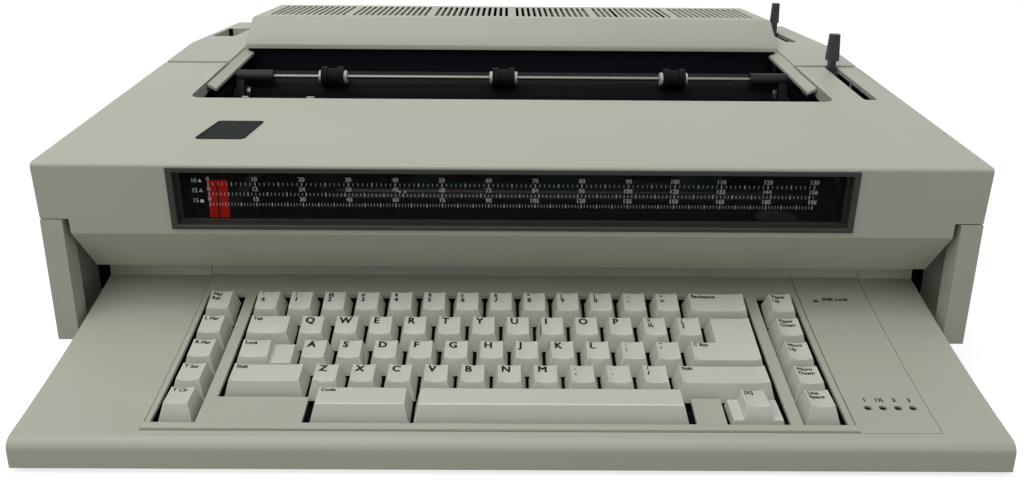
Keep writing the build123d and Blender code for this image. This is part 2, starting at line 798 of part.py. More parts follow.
with BuildPart() as front_cover:
    side_profile(
        [
            (face_y(split_upper_z), split_upper_z),
            cover_face_top,
            (hinge_y, deck_z(hinge_y)),
            (hinge_y, split_upper_z),
        ],
        (-half_width, half_width),
    )
    top_edge = front_cover.edges().filter_by(Axis.X).group_by(Axis.Y)[0].sort_by(Axis.Z)[-1]
    fillet(top_edge, 0.75 * wall)
    side_profile(
        [
            (face_y(split_upper_z) + wall, split_upper_z - 1),
            (cover_face_top[0] + wall, cover_face_top[1] - wall),
            (hinge_y + 1, deck_z(hinge_y) - wall),
            (hinge_y + 1, split_upper_z - 1),
        ],
        (-inner_half_width, inner_half_width),
        Mode.SUBTRACT,
    )
    # Chin between the cheeks: the face runs on down and then slopes back.
    side_profile(
        [
            (face_y(split_upper_z + wall), split_upper_z + wall),
            cover_face_bottom,
            chin_bottom,
            chin_inner,
            (cover_face_bottom[0] + wall, cover_face_bottom[1] + wall / 2),
            (face_y(split_upper_z + wall) + wall, split_upper_z + wall),
        ],
        (-chin_half_width, chin_half_width),
    )
    # Round rear edge of each side arm, which turns about the hinge pin.
    for side in (-1, 1):
        rod(barrel_radius, mirrored(opening_half_width, half_width, side), hinge_y, pin_z)
    # Opening over the platen, with a rim that stiffens its edge.
    block(
        (-rim_x, rim_x),
        (opening_front_y - rim_thickness, opening_front_y + 1),
        (rim_bottom_z, deck_z(opening_front_y) - 1),
    )
    for side in (-1, 1):
        side_profile(
            [
                (opening_front_y, rim_bottom_z),
                (opening_front_y, deck_z(opening_front_y) - 1),
                (rim_rear_y, deck_z(rim_rear_y) - 1),
                (rim_rear_y, deck_z(rim_rear_y) - wall - 2),
            ],
            mirrored(opening_half_width, rim_x, side),
        )
    opening_length = 2 * (hinge_y - opening_front_y)
    with BuildSketch(Plane.XY.offset(split_upper_z)):
        with Locations((0, opening_front_y + opening_length / 2)):
            RectangleRounded(2 * opening_half_width, opening_length, opening_corner)
    extrude(amount=deck_z(rear_y), mode=Mode.SUBTRACT)
    # Slot that the paper bail lever moves in, open at the seam.
    slot(
        (bail_lever_x - slot_width / 2, bail_lever_x + slot_width / 2),
        (bail_slot_front_y, hinge_y + 30),
    )
    # Room for the fixed hinge knuckle, and the hole for its pin stubs.
    for side in (-1, 1):
        gap_x = mirrored(knuckle_x[0] - insert_gap, knuckle_x[1] + insert_gap, side)
        rod(barrel_radius + working, gap_x, hinge_y, pin_z, Mode.SUBTRACT)
        block(
            gap_x,
            (hinge_y - 1, hinge_y + barrel_radius + 1),
            (pin_z - 3 * barrel_radius, pin_z + 3 * barrel_radius),
            Mode.SUBTRACT,
        )
        hole_x = mirrored(knuckle_x[0] - barrel_radius - 0.2, knuckle_x[1] + barrel_radius + 0.2, side)
        rod(hinge_pin_radius + running, hole_x, hinge_y, pin_z, Mode.SUBTRACT)
    # Window in the face for the scale bezel.
    with BuildSketch(face_plane):
        Rectangle(
            bezel_width - 2 * bezel_shoulder + bezel_fit,
            bezel_height - 2 * bezel_shoulder + bezel_fit,
        )
    extrude(amount=2 * wall, both=True, mode=Mode.SUBTRACT)
finish("front_cover", front_cover.part)

# Scale bezel and the glass behind it, both square to the leaning face

glass_margin = 1.0
mouth_flare = (5.0, 3.6)

with BuildPart() as scale_bezel:
    with BuildSketch(face_plane):
        Rectangle(bezel_width, bezel_height)
    extrude(amount=bezel_proud)
    with BuildSketch(face_plane):
        Rectangle(bezel_width - 2 * bezel_shoulder, bezel_height - 2 * bezel_shoulder)
    extrude(amount=-bezel_depth)
    with BuildSketch(face_plane.offset(bezel_proud)) as mouth:
        Rectangle(window_width + mouth_flare[0], window_height + mouth_flare[1])
    with BuildSketch(face_plane.offset(-glass_depth)) as throat:
        Rectangle(window_width, window_height)
    loft([mouth.sketch.face(), throat.sketch.face()], ruled=True, mode=Mode.SUBTRACT)
    with BuildSketch(face_plane.offset(-glass_depth)):
        Rectangle(window_width + 2 * glass_margin, window_height + glass_margin)
    extrude(amount=-bezel_depth, mode=Mode.SUBTRACT)
finish("scale_bezel", scale_bezel.part)

with BuildPart() as scale_plate:
    with BuildSketch(face_plane.offset(-glass_depth)):
        Rectangle(window_width + 2 * glass_margin, window_height + glass_margin)
    extrude(amount=-glass_thickness)
finish("scale_plate", scale_plate.part)

# Rear cover: the sides behind the seam, the raised hood and its vents

rear_start_y = hinge_y + barrel_radius + working
hood_bottom_z = deck_z(bend_y) - 2 * wall
flange_outer_x = opening_half_width - working
flange_inner_x = flange_outer_x - flange_reach
flange_rear_y = hood_front[0] + hood_wall

with BuildPart() as hood:
    side_profile(
        [
            (hood_front[0], hood_front[1] - hood_lip),
            hood_front,
            hood_top_front,
            hood_top_rear,
            hood_rear,
            (hood_rear[0], hood_bottom_z),
        ],
        (-opening_half_width, opening_half_width),
    )
    fillet(hood.edges().filter_by(lambda edge: edge.center().Z > hood_front[1] + 1), hood_fillet)
    side_profile(
        [
            (hood_front[0] + hood_wall, 0),
            (hood_front[0] + hood_wall, hood_front[1] - 1),
            (hood_top_front[0] + 1, hood_top_front[1] - hood_wall),
            (hood_top_rear[0] - 1, hood_top_rear[1] - hood_wall),
            (hood_rear[0] - hood_wall, hood_rear[1] - 1),
            (hood_rear[0] - hood_wall, 0),
        ],
        (hood_wall - opening_half_width, opening_half_width - hood_wall),
        Mode.SUBTRACT,
    )
    # Vents: long slots in even groups across the hood's top.
    with Locations((0, (hood_top_front[0] + hood_top_rear[0]) / 2, hood_top_front[1])):
        with GridLocations(vent_group_pitch, 0, vent_groups, 1):
            with GridLocations(vent_pitch, 0, vents_in_group, 1):
                Box(vent_width, vent_length, 4 * hood_wall, mode=Mode.SUBTRACT)

with BuildPart() as rear_cover:
    side_profile(
        [
            (rear_start_y, split_upper_z),
            (rear_start_y, deck_z(rear_start_y)),
            (bend_y, deck_z(bend_y)),
            (rear_edge_y, rear_edge_z),
            (rear_y, rear_edge_z - rear_edge_drop),
            (rear_y, split_upper_z),
        ],
        (-half_width, half_width),
    )
    side_profile(
        [
            (rear_start_y - 1, split_upper_z - 1),
            (rear_start_y - 1, deck_z(rear_start_y - 1) - wall),
            (bend_y, deck_z(bend_y) - wall),
            (rear_edge_y - wall / 2, rear_edge_z - wall),
            (rear_y - wall, rear_edge_z - rear_edge_drop - wall / 2),
            (rear_y - wall, split_upper_z - 1),
        ],
        (-inner_half_width, inner_half_width),
        Mode.SUBTRACT,
    )
    # Opening over the platen, and under the hood.
    block(
        (-opening_half_width, opening_half_width),
        (rear_start_y - 1, hood_front[0]),
        (split_upper_z - 1, hood_front[1]),
        Mode.SUBTRACT,
    )
    block(
        (hood_wall - opening_half_width, opening_half_width - hood_wall),
        (hood_front[0] - 1, hood_rear[0] - hood_wall),
        (hood_bottom_z - wall, hood_front[1]),
        Mode.SUBTRACT,
    )
    add(hood.part)
    # Sloping flanges beside the platen, which run forward past the seam.
    for side in (-1, 1):
        for outer_x, start_y in (
            (flange_outer_x, flange_front_y),
            (opening_half_width + 1, rear_start_y + working),
        ):
            fall = flange_drop * (outer_x - flange_inner_x) / flange_reach
            top_z = deck_z(start_y) - wall / 2 + (fall - flange_drop)
            with BuildSketch(Plane.XZ.offset(-start_y)) as section:
                with BuildLine():
                    Polyline(
                        (side * outer_x, top_z),
                        (side * outer_x, top_z - flange_thickness),
                        (side * flange_inner_x, top_z - flange_thickness - fall),
                        (side * flange_inner_x, top_z - fall),
                        close=True,
                    )
                make_face()
            length = (flange_rear_y - start_y) * sqrt(1 + deck_slope**2)
            extrude(section.sketch, amount=length, dir=(0, 1, deck_slope))
    # Slot for the paper release lever and the finger recess opposite it.
    slot((release_lever_x - slot_width / 2, release_lever_x + slot_width / 2), release_slot)
    recess_floor = rear_edge_z - recess_depth
    block(
        (recess_x[0] - recess_wall, recess_x[1] + recess_wall),
        (recess_y[0] - recess_wall, recess_y[1] + recess_wall),
        (recess_floor - recess_wall, rear_edge_z - 1),
    )
    with BuildSketch(Plane.XY.offset(recess_floor)) as recess:
        with Locations((sum(recess_x) / 2, sum(recess_y) / 2)):
            RectangleRounded(recess_x[1] - recess_x[0], recess_y[1] - recess_y[0], 1.5 * slot_corner)
    extrude(recess.sketch, amount=2 * recess_depth, mode=Mode.SUBTRACT)
    # Fixed hinge knuckles with stub pins, on the front edge of each side arm.
    for side in (-1, 1):
        x = mirrored(*knuckle_x, side)
        rod(barrel_radius, x, hinge_y, pin_z)
        block(x, (hinge_y, rear_start_y + wall + 1), (pin_z - barrel_radius, pin_z))
        block(
            x,
            (rear_start_y, rear_start_y + wall + 2),
            (pin_z - barrel_radius, deck_z(rear_start_y) - 1),
        )
        stub_x = mirrored(knuckle_x[0] - barrel_radius, knuckle_x[1] + barrel_radius, side)
        rod(hinge_pin_radius, stub_x, hinge_y, pin_z)
finish("rear_cover", rear_cover.part)

# Side frames, which carry the platen, the rails, the bail and the levers, and the
# paper guide that ties them together behind the platen

platen_gear_radius = gear_module * platen_teeth / 2
pinion_radius = gear_module * pinion_teeth / 2
pinion_y = platen_y + platen_gear_radius + pinion_radius
frame_front_y = front_rail[0] - 38
frame_rear_y = release_pivot[0] + 14
frame_top_z = platen_z + 10
frame_outline = [
    (frame_front_y, floor_z),
    (frame_rear_y, floor_z),
    (frame_rear_y, release_pivot[1] - 15),
    (frame_rear_y - 4, release_pivot[1] + 13),
    (release_pivot[0] - 12, release_pivot[1] + 13),
    (platen_y + 49, platen_z - 19),
    (platen_y + 41, frame_top_z),
    (platen_y - 43, frame_top_z),
    (bail_pivot[0] - 16, bail_pivot[1] + 16),
    (front_rail[0] - 18, front_rail[1] + 20),
    (frame_front_y, front_rail[1] + 10),
]
guide_y = hood_front[0] + hood_wall + 1
guide_turn_z = platen_z + 7
guide_foot = (platen_y + pan_radius, platen_z - 14)
stub_overhang = 2.0
stub_collar = 2.0

with BuildPart() as side_frames:
    for side in (-1, 1):
        x = mirrored(frame_x, frame_x + frame_thickness, side)
        hole_x = (x[0] - 1, x[1] + 1)
        side_profile(frame_outline, x)
        block(
            mirrored(frame_x, frame_x + 3 * frame_thickness, side),
            (frame_front_y, frame_rear_y),
            (floor_z, floor_z + frame_thickness),
        )
        rod(journal_radius + running, hole_x, platen_y, platen_z, Mode.SUBTRACT)
        rod(rail_radius, hole_x, *front_rail, Mode.SUBTRACT)
        rod(rail_radius, hole_x, *rear_rail, Mode.SUBTRACT)
        rod(stub_radius, mirrored(bail_arm_x[0], frame_x, side), *bail_pivot)
        rod(stub_radius + stub_collar, mirrored(bail_arm_x[1] + working, frame_x, side), *bail_pivot)
    for lever_x, pivot in ((bail_lever_x, bail_lever_pivot), (release_lever_x, release_pivot)):
        rod(stub_radius, (frame_x, lever_x + lever_thickness / 2 + stub_overhang), *pivot)
        rod(
            stub_radius + stub_collar,
            (frame_x, lever_x - lever_thickness / 2 - working),
            *pivot,
        )
    guide_x = frame_x + 1
    side_profile(
        [
            (guide_y, guide_turn_z),
            (guide_y + pan_thickness, guide_turn_z),
            (guide_foot[0] + pan_thickness, guide_foot[1]),
            guide_foot,
        ],
        (-guide_x, guide_x),
    )
    guide_x = opening_half_width - hood_wall - 1.5
    side_profile(
        [
            (guide_y, guide_turn_z - 1),
            (guide_y, hood_front[1] - hood_lip),
            (guide_y + pan_thickness, hood_front[1] - hood_lip),
            (guide_y + pan_thickness, guide_turn_z - 1),
        ],
        (-guide_x, guide_x),
    )
finish("side_frames", side_frames.part)

with BuildPart() as carrier_rails:
    rail_end = frame_x + frame_thickness + 3
    rod(rail_radius, (-rail_end, rail_end), *front_rail)
    rod(rail_radius, (-rail_end, rail_end), *rear_rail)
finish("carrier_rails", carrier_rails.part)

# Platen, its shaft and gear, and the feed motor's pinion


def gear_outline(teeth, phase):
    """Corners of a spur gear's outline, tooth by tooth, as (y, z) offsets."""
    radius = gear_module * teeth / 2
    root = radius - 1.1 * gear_module
    tip = radius + 0.75 * gear_module
    points = []
    for tooth in range(teeth):
        for share, at in ((-0.30, root), (-0.12, tip), (0.12, tip), (0.30, root)):
            angle = 2 * pi * (tooth + share + phase) / teeth
            points.append((at * cos(angle), at * sin(angle)))
    return points


def spur_gear(teeth, phase, x, y, z):
    """Add a spur gear that turns about X and spans the range x."""
    side_profile([(y + dy, z + dz) for dy, dz in gear_outline(teeth, phase)], x)


gear_span = (gear_x, gear_x + gear_face)

with BuildPart() as platen_roller:
    rod(platen_radius, (-platen_half_length, platen_half_length), platen_y, platen_z)
    rod(platen_core_radius, (-half_width, half_width), platen_y, platen_z, Mode.SUBTRACT)
finish("platen_roller", platen_roller.part)

with BuildPart() as platen_shaft:
    rod(platen_core_radius, (-platen_half_length, platen_half_length), platen_y, platen_z)
    rod(journal_radius, (-frame_x - 5, gear_span[1] + 1), platen_y, platen_z)
    for side in (-1, 1):
        rod(journal_radius + 3, mirrored(platen_half_length, frame_x - 1, side), platen_y, platen_z)
    spur_gear(platen_teeth, 0, gear_span, platen_y, platen_z)
finish("platen_shaft", platen_shaft.part)

with BuildPart() as feed_pinion:
    spur_gear(pinion_teeth, 0.5, gear_span, pinion_y, platen_z)
    rod(motor_shaft_radius + 2, (gear_x, gear_span[1] + 1.2), pinion_y, platen_z)
    rod(
        motor_shaft_radius + running,
        (gear_x - 1, gear_span[1] + 2),
        pinion_y,
        platen_z,
        Mode.SUBTRACT,
    )
finish("feed_pinion", feed_pinion.part)

carrier_motor_z = (floor_z, belt_z - 3)
standoff_radius = 2.5

with BuildPart() as drive_motors:
    rod(motor_radius, feed_motor_x, pinion_y, platen_z)
    rod(motor_shaft_radius, (frame_x + frame_thickness + 0.7, feed_motor_x[0]), pinion_y, platen_z)
    for z in (platen_z - 13, platen_z + 8):
        rod(standoff_radius, (frame_x + frame_thickness, feed_motor_x[0] + 1), pinion_y + 9, z)
    post(motor_radius, pulley_x, pulley_y, carrier_motor_z)
    post(pulley_shaft_radius, pulley_x, pulley_y, (floor_z, idler_top_z))
finish("drive_motors", drive_motors.part)

# Paper pan and the feed rollers under the platen


def platen_point(radius, angle):
    """Point at an angle in degrees round the platen's axis, as (y, z)."""
    return platen_y + radius * cos(radians(angle)), platen_z + radius * sin(radians(angle))


with BuildPart() as paper_pan:
    outer = pan_radius + pan_thickness
    start, end = pan_ends
    with BuildSketch(Plane.YZ.offset(-pan_half_length)):
        with BuildLine():
            ThreePointArc(*[platen_point(pan_radius, angle) for angle in (end, -90, start)])
            Line(platen_point(pan_radius, start), platen_point(outer, start))
            ThreePointArc(*[platen_point(outer, angle) for angle in (start, -90, end)])
            Line(platen_point(outer, end), platen_point(pan_radius, end))
        make_face()
    extrude(amount=2 * pan_half_length)
    slot_half = feed_roller_width / 2 + 3 * working
    for x in feed_roller_x:
        block(
            (x - slot_half, x + slot_half),
            (platen_y - feed_roller_radius - 1.5, platen_y + feed_roller_radius + 1.5),
            (platen_z - outer - 1, platen_z - pan_radius / 2),
            Mode.SUBTRACT,
        )
    for side in (-1, 1):
        x = mirrored(*ear_x, side)
        block(x, (platen_y - 6, platen_y + 6), (feed_axis_z - 6, feed_axis_z + 4))
        rod(feed_shaft_radius + running, (x[0] - 1, x[1] + 1), platen_y, feed_axis_z, Mode.SUBTRACT)
finish("paper_pan", paper_pan.part)

with BuildPart() as feed_rollers:
    rod(feed_shaft_radius, (-ear_x[1] - 2, ear_x[1] + 2), platen_y, feed_axis_z)
    for x in feed_roller_x:
        half = feed_roller_width / 2
        rod(feed_roller_radius, (x - half, x + half), platen_y, feed_axis_z)
finish("feed_rollers", feed_rollers.part)

# Paper bail

with BuildPart() as bail_rod:
    rod(bail_rod_radius, (-bail_arm_x[1], bail_arm_x[1]), bail_y, bail_z)
finish("bail_rod", bail_rod.part)

with BuildPart() as bail_arms:
    for side in (-1, 1):
        x = mirrored(*bail_arm_x, side)
        side_profile(
            [
                (bail_pivot[0] - bail_arm_half, bail_pivot[1]),
                (bail_pivot[0] + bail_arm_half, bail_pivot[1]),
                (bail_y + bail_arm_half, bail_z),
                (bail_y - bail_arm_half, bail_z),
            ],
            x,
        )
        rod(bail_arm_half + 2, x, *bail_pivot)
        rod(bail_boss_radius, mirrored(bail_boss_x, bail_arm_x[1], side), bail_y, bail_z)
        rod(stub_radius + running, (x[0] - 1, x[1] + 1), *bail_pivot, Mode.SUBTRACT)
    rod(bail_rod_radius, (-half_width, half_width), bail_y, bail_z, Mode.SUBTRACT)
finish("bail_arms", bail_arms.part)

with BuildPart() as bail_rollers:
    for x in bail_roller_x:
        half = bail_roller_width / 2
        flange_half = half + bail_flange_width
        rod(bail_roller_core, (x - half, x + half), bail_y, bail_z)
        for end in (x - half, x + half - bail_rib_width):
            rod(bail_roller_radius, (end, end + bail_rib_width), bail_y, bail_z)
        rod(bail_flange_radius, (x - flange_half, x + flange_half), bail_y, bail_z)
        rod(
            bail_rod_radius + running,
            (x - flange_half - 1, x + flange_half + 1),
            bail_y,
            bail_z,
            Mode.SUBTRACT,
        )
finish("bail_rollers", bail_rollers.part)

# Levers


def lever(name, x, pivot, top_y, knob_z, bend_z, knob_sizes):
    """Cranked flat lever with a tapered knob, on a hub at its pivot."""
    x_range = (x - lever_thickness / 2, x + lever_thickness / 2)
    with BuildPart() as piece:
        with BuildSketch(Plane.YZ.offset(x_range[0])) as arm:
            with BuildLine(mode=Mode.PRIVATE) as path:
                Polyline(pivot, (top_y, bend_z), (top_y, knob_z[0] + 1))
            trace(path.edges(), line_width=lever_width)
        extrude(arm.sketch, amount=lever_thickness)
        rod(stub_radius + 4, x_range, *pivot)
        rod(stub_radius + running, (x_range[0] - 1, x_range[1] + 1), *pivot, Mode.SUBTRACT)
        outlines = []
        for z, size in zip(knob_z, knob_sizes):
            with BuildSketch(Plane.XY.offset(z)) as outline:
                with Locations((x, top_y)):
                    RectangleRounded(size, size, 1.5)
            outlines.append(outline.sketch.face())
        loft(outlines, ruled=True)
    finish(name, piece.part)


lever(
    "bail_lever",
    bail_lever_x,
    bail_lever_pivot,
    bail_lever_top_y,
    bail_knob_z,
    deck_z(bail_lever_top_y) - lever_thickness,
    bail_knob_sizes,
)
lever(
    "release_lever",
    release_lever_x,
    release_pivot,
    release_lever_top_y,
    release_knob_z,
    rear_edge_z - lever_thickness,
    release_knob_sizes,
)

# Carrier with its print wheel, hammer, ribbon cartridge and scale pointer

carrier_x = (scale_zero_x - carrier_half_width, scale_zero_x + carrier_half_width)
carrier_front_y = front_rail[0] - 10
carrier_rear_y = rear_rail[0] + 12
carrier_nose_y = front_rail[0] - 5
hammer_rear_y = wheel_y - wheel_thickness / 2 - hammer_travel - hammer_gap
coil_y = (front_rail[0] + 20, wheel_y - 17)

with BuildPart() as carrier_frame:
    side_profile(
        [
            (carrier_front_y, front_rail[1] - 14),
            (carrier_front_y, front_rail[1] + 12),
            (carrier_nose_y, carrier_top_z - 8),
            (carrier_nose_y, carrier_top_z),
            (front_rail[0] + 36, carrier_top_z),
            (front_rail[0] + 36, rear_rail[1] + 10),
            (carrier_rear_y, rear_rail[1] + 10),
            (carrier_rear_y, rear_rail[1] - 8),
            (rear_rail[0] - 16, rear_rail[1] - 8),
            (rear_rail[0] - 20, front_rail[1] - 14),
        ],
        carrier_x,
    )
    # Hollow middle between the two cheeks of the carrier.
    side_profile(
        [
            (front_rail[0] - 2, front_rail[1] - 20),
            (front_rail[0] - 2, carrier_top_z - 14),
            (front_rail[0] + 2, carrier_top_z - 6),
            (front_rail[0] + 30, carrier_top_z - 6),
            (front_rail[0] + 30, front_rail[1] - 20),
        ],
        (carrier_x[0] + carrier_cheek, carrier_x[1] - carrier_cheek),
        Mode.SUBTRACT,
    )
    # Print wheel motor, and the hammer coil on its pedestal.
    spindle(14, scale_zero_x, (front_rail[0] + 32, wheel_y - 4), wheel_z - 1)
    spindle(wheel_bore, scale_zero_x, (front_rail[0] + 32, wheel_y + 1.4), wheel_z)
    block((scale_zero_x - 9, scale_zero_x + 9), (coil_y[0], coil_y[0] + 16), (carrier_top_z, hammer_z - 8))
    block((scale_zero_x - 7, scale_zero_x + 7), coil_y, (carrier_top_z, hammer_z))
    spindle(7, scale_zero_x, coil_y, hammer_z)
    spindle(
        hammer_radius + running,
        scale_zero_x,
        (coil_y[0] + 2, coil_y[1] + 1),
        hammer_z,
        Mode.SUBTRACT,
    )
    for rail in (front_rail, rear_rail):
        rod(rail_radius + running, (carrier_x[0] - 1, carrier_x[1] + 1), *rail, Mode.SUBTRACT)
finish("carrier_frame", carrier_frame.part)

with BuildPart() as print_hammer:
    spindle(hammer_radius, scale_zero_x, (coil_y[0] + 3, hammer_rear_y), hammer_z)
finish("print_hammer", print_hammer.part)

with BuildPart() as print_wheel:
    wheel_front_y = wheel_y - wheel_thickness / 2
    petal_length = wheel_radius - wheel_hub_radius + 1
    spindle(wheel_hub_radius, scale_zero_x, (wheel_front_y, wheel_front_y + wheel_thickness), wheel_z)
    with BuildSketch(Plane.XZ.offset(-wheel_front_y)):
        with Locations((scale_zero_x, wheel_z)):
            with PolarLocations(wheel_radius - petal_length / 2, wheel_petals):
                Rectangle(petal_length, petal_width)
    extrude(amount=-wheel_thickness)
    spindle(wheel_bore + running, scale_zero_x, (wheel_y - 5, wheel_y + 5), wheel_z, Mode.SUBTRACT)
finish("print_wheel", print_wheel.part)

cartridge_y = (front_rail[0] - 16, front_rail[0] + 42)
cartridge_z = (carrier_top_z, carrier_top_z + cartridge_height)
ribbon_guide_y = (cartridge_y[1] - 10, wheel_y + 2.5)
lift_tab_radius = 1.2

with BuildPart() as ribbon_cartridge:
    block(
        (scale_zero_x - cartridge_half_width, scale_zero_x + cartridge_half_width),
        cartridge_y,
        cartridge_z,
    )
    fillet(ribbon_cartridge.edges().filter_by(Axis.Z), 6)
    # Arms that hold the ribbon before the platen, and two tabs to lift the cartridge by.
    for side in (-1, 1):
        arm_x = sorted((scale_zero_x + side * 25, scale_zero_x + side * 31))
        block(arm_x, ribbon_guide_y, (cartridge_z[1] - 8, cartridge_z[1]))
    for x in (scale_zero_x - 18, scale_zero_x + 30):
        post(lift_tab_radius, x, cartridge_y[0] + 8, (cartridge_z[1] - 1, cartridge_z[1] + 11))
    block(
        (scale_zero_x - 10, scale_zero_x + 10),
        (coil_y[0] - 6, coil_y[1] + 8),
        (cartridge_z[0] - 1, cartridge_z[1] + 1),
        Mode.SUBTRACT,
    )
finish("ribbon_cartridge", ribbon_cartridge.part)

pointer_z = carrier_top_z - 4
swing_radius = hypot(chin_inner[0] - hinge_y, chin_inner[1] - pin_z) - pointer_clearance
pointer_y = hinge_y - sqrt(swing_radius**2 - (pin_z - pointer_z) ** 2)
pointer_arm_half = 4.0

with BuildPart() as scale_pointer:
    arm_x = (scale_zero_x - pointer_arm_half, scale_zero_x + pointer_arm_half)
    block(arm_x, (pointer_y, carrier_nose_y), (pointer_z, pointer_z + 2))
    block(
        (scale_zero_x - pointer_width / 2, scale_zero_x + pointer_width / 2),
        (pointer_y, pointer_y + pointer_thickness),
        (pointer_z + 1, pointer_z + pointer_height + 2),
    )
finish("scale_pointer", scale_pointer.part)

# Belt drive of the carrier


def pulley(name, x):
    """Flanged belt pulley on an upright shaft."""
    with BuildPart() as piece:
        post(pulley_radius, x, pulley_y, (belt_z - 1, belt_z + belt_height + 1))
        for z in (belt_z - 2, belt_z + belt_height + 0.5):
            post(pulley_radius + pulley_flange, x, pulley_y, (z, z + 1.5))
        post(
            pulley_shaft_radius + running,
            x,
            pulley_y,
            (belt_z - 5, belt_z + belt_height + 5),
            Mode.SUBTRACT,
        )
    finish(name, piece.part)


pulley("drive_pulley", pulley_x)
pulley("idler_pulley", -pulley_x)

with BuildPart() as drive_belt:
    belt_inner = pulley_radius + 2 * running
    with BuildSketch(Plane.XY.offset(belt_z)):
        with Locations((0, pulley_y)):
            SlotCenterToCenter(2 * pulley_x, 2 * (belt_inner + belt_thickness))
            SlotCenterToCenter(2 * pulley_x, 2 * belt_inner, mode=Mode.SUBTRACT)
    extrude(amount=belt_height)
finish("drive_belt", drive_belt.part)

# Electronics and the mains parts

main_board_x = (-90.0, 195.0)
main_board_y = (rear_y - 120, rear_y - 13)
main_board_z = floor_z + 8.0
main_board_thickness = 1.6
chip_height = 4.0
supply_x = (-205.0, -105.0)
supply_y = (rear_y - 135, rear_y - 25)
supply_height = 60.0

with BuildPart() as circuit_boards:
    arc_strip(key_arc, board_x, board_y, (board_depth, board_depth + board_thickness))
    block(main_board_x, main_board_y, (main_board_z, main_board_z + main_board_thickness))
    for x in (main_board_x[0] + 10, main_board_x[1] - 10):
        for y in (main_board_y[0] + 10, main_board_y[1] - 10):
            post(3, x, y, (floor_z, main_board_z + 0.5))
    chip_z = main_board_z + main_board_thickness - 0.5
    for x in (-60, -10, 60, 110):
        block((x, x + 38), (main_board_y[0] + 25, main_board_y[0] + 39), (chip_z, chip_z + chip_height))
    block((-60, 0), (main_board_y[0] + 65, main_board_y[0] + 80), (chip_z, chip_z + 2 * chip_height))
finish("circuit_boards", circuit_boards.part)

with BuildPart() as power_supply:
    block(supply_x, supply_y, (floor_z, floor_z + supply_height))
    fillet(power_supply.edges().filter_by(Axis.Z), 3)
finish("power_supply", power_supply.part)

inlet_gap = 0.1
socket_size = (23.0, 16.0)
socket_rear_y = rear_y - 0.2

with BuildPart() as power_inlet:
    block(
        (inlet_x - inlet_flange[0] / 2, inlet_x + inlet_flange[0] / 2),
        (rear_y - wall - 2, rear_y - wall),
        (inlet_z - inlet_flange[1] / 2, inlet_z + inlet_flange[1] / 2),
    )
    body_x = inlet_size[0] / 2 - inlet_gap
    body_z = inlet_size[1] / 2 - inlet_gap
    block(
        (inlet_x - body_x, inlet_x + body_x),
        (socket_rear_y - 20, socket_rear_y),
        (inlet_z - body_z, inlet_z + body_z),
    )
    block(
        (inlet_x - socket_size[0] / 2, inlet_x + socket_size[0] / 2),
        (socket_rear_y - 18, socket_rear_y + 1),
        (inlet_z - socket_size[1] / 2, inlet_z + socket_size[1] / 2),
        Mode.SUBTRACT,
    )
    for dx, dz in ((-7, -1), (0, 3), (7, -1)):
        block(
            (inlet_x + dx - 1, inlet_x + dx + 1),
            (socket_rear_y - 19, socket_rear_y - 5),
            (inlet_z + dz - 2.5, inlet_z + dz + 2.5),
        )
finish("power_inlet", power_inlet.part)

rocker_half = switch_size[0] / 2 - 0.6
rocker_gap = 0.4
rocker_x = -half_width + switch_depth / 2

with BuildPart() as power_switch:
    with BuildSketch(Plane.XY.offset(switch_z - switch_size[1] / 2 + rocker_gap)):
        with BuildLine():
            Polyline(
                (rocker_x - 5.8, switch_y - rocker_half + 0.6),
                (rocker_x - 4.6, switch_y + 0.5),
                (rocker_x - 4.2, switch_y + rocker_half - 0.6),
                (rocker_x + 1.5, switch_y + rocker_half - 2.6),
                (rocker_x + 2.5, switch_y),
                (rocker_x + 1.5, switch_y - rocker_half + 2.6),
                close=True,
            )
        make_face()
    extrude(amount=switch_size[1] - 2 * rocker_gap)
    post(
        switch_pin_radius,
        rocker_x,
        switch_y,
        (switch_z - switch_size[1] / 2 - switch_wall, switch_z + switch_size[1] / 2 + switch_wall),
    )
finish("power_switch", power_switch.part)
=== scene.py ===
"""Looks of a desktop electronic typewriter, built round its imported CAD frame.

Everything is in metres, in the frame's own axes: +X to the typist's right,
+Y to the rear and +Z up, with the origin on the table under the machine.
"""

import json
import logging
import math
from collections.abc import Callable, Iterable, Sequence
from dataclasses import dataclass
from enum import Enum

import bmesh
import bpy
from mathutils import Matrix, Vector
from mathutils.bvhtree import BVHTree

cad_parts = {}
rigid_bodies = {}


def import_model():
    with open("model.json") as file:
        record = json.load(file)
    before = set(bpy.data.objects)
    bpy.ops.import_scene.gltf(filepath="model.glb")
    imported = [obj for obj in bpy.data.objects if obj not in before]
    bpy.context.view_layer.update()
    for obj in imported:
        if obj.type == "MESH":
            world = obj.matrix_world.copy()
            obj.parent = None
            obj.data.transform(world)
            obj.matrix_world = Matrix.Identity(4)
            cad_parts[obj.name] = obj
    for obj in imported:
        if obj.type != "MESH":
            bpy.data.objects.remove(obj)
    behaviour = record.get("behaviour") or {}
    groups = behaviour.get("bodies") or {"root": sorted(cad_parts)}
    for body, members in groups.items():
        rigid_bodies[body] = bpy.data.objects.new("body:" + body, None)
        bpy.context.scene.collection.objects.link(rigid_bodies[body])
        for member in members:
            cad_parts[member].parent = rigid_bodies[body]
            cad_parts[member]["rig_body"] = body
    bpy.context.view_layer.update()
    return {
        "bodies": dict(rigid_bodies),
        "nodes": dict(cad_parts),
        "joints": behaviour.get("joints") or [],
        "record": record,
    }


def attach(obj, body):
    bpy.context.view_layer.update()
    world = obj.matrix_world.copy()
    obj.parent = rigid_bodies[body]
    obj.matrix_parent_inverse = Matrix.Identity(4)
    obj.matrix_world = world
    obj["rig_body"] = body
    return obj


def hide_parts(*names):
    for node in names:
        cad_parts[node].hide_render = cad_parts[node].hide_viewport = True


LOG = logging.getLogger("typewriter")
MM = 0.001
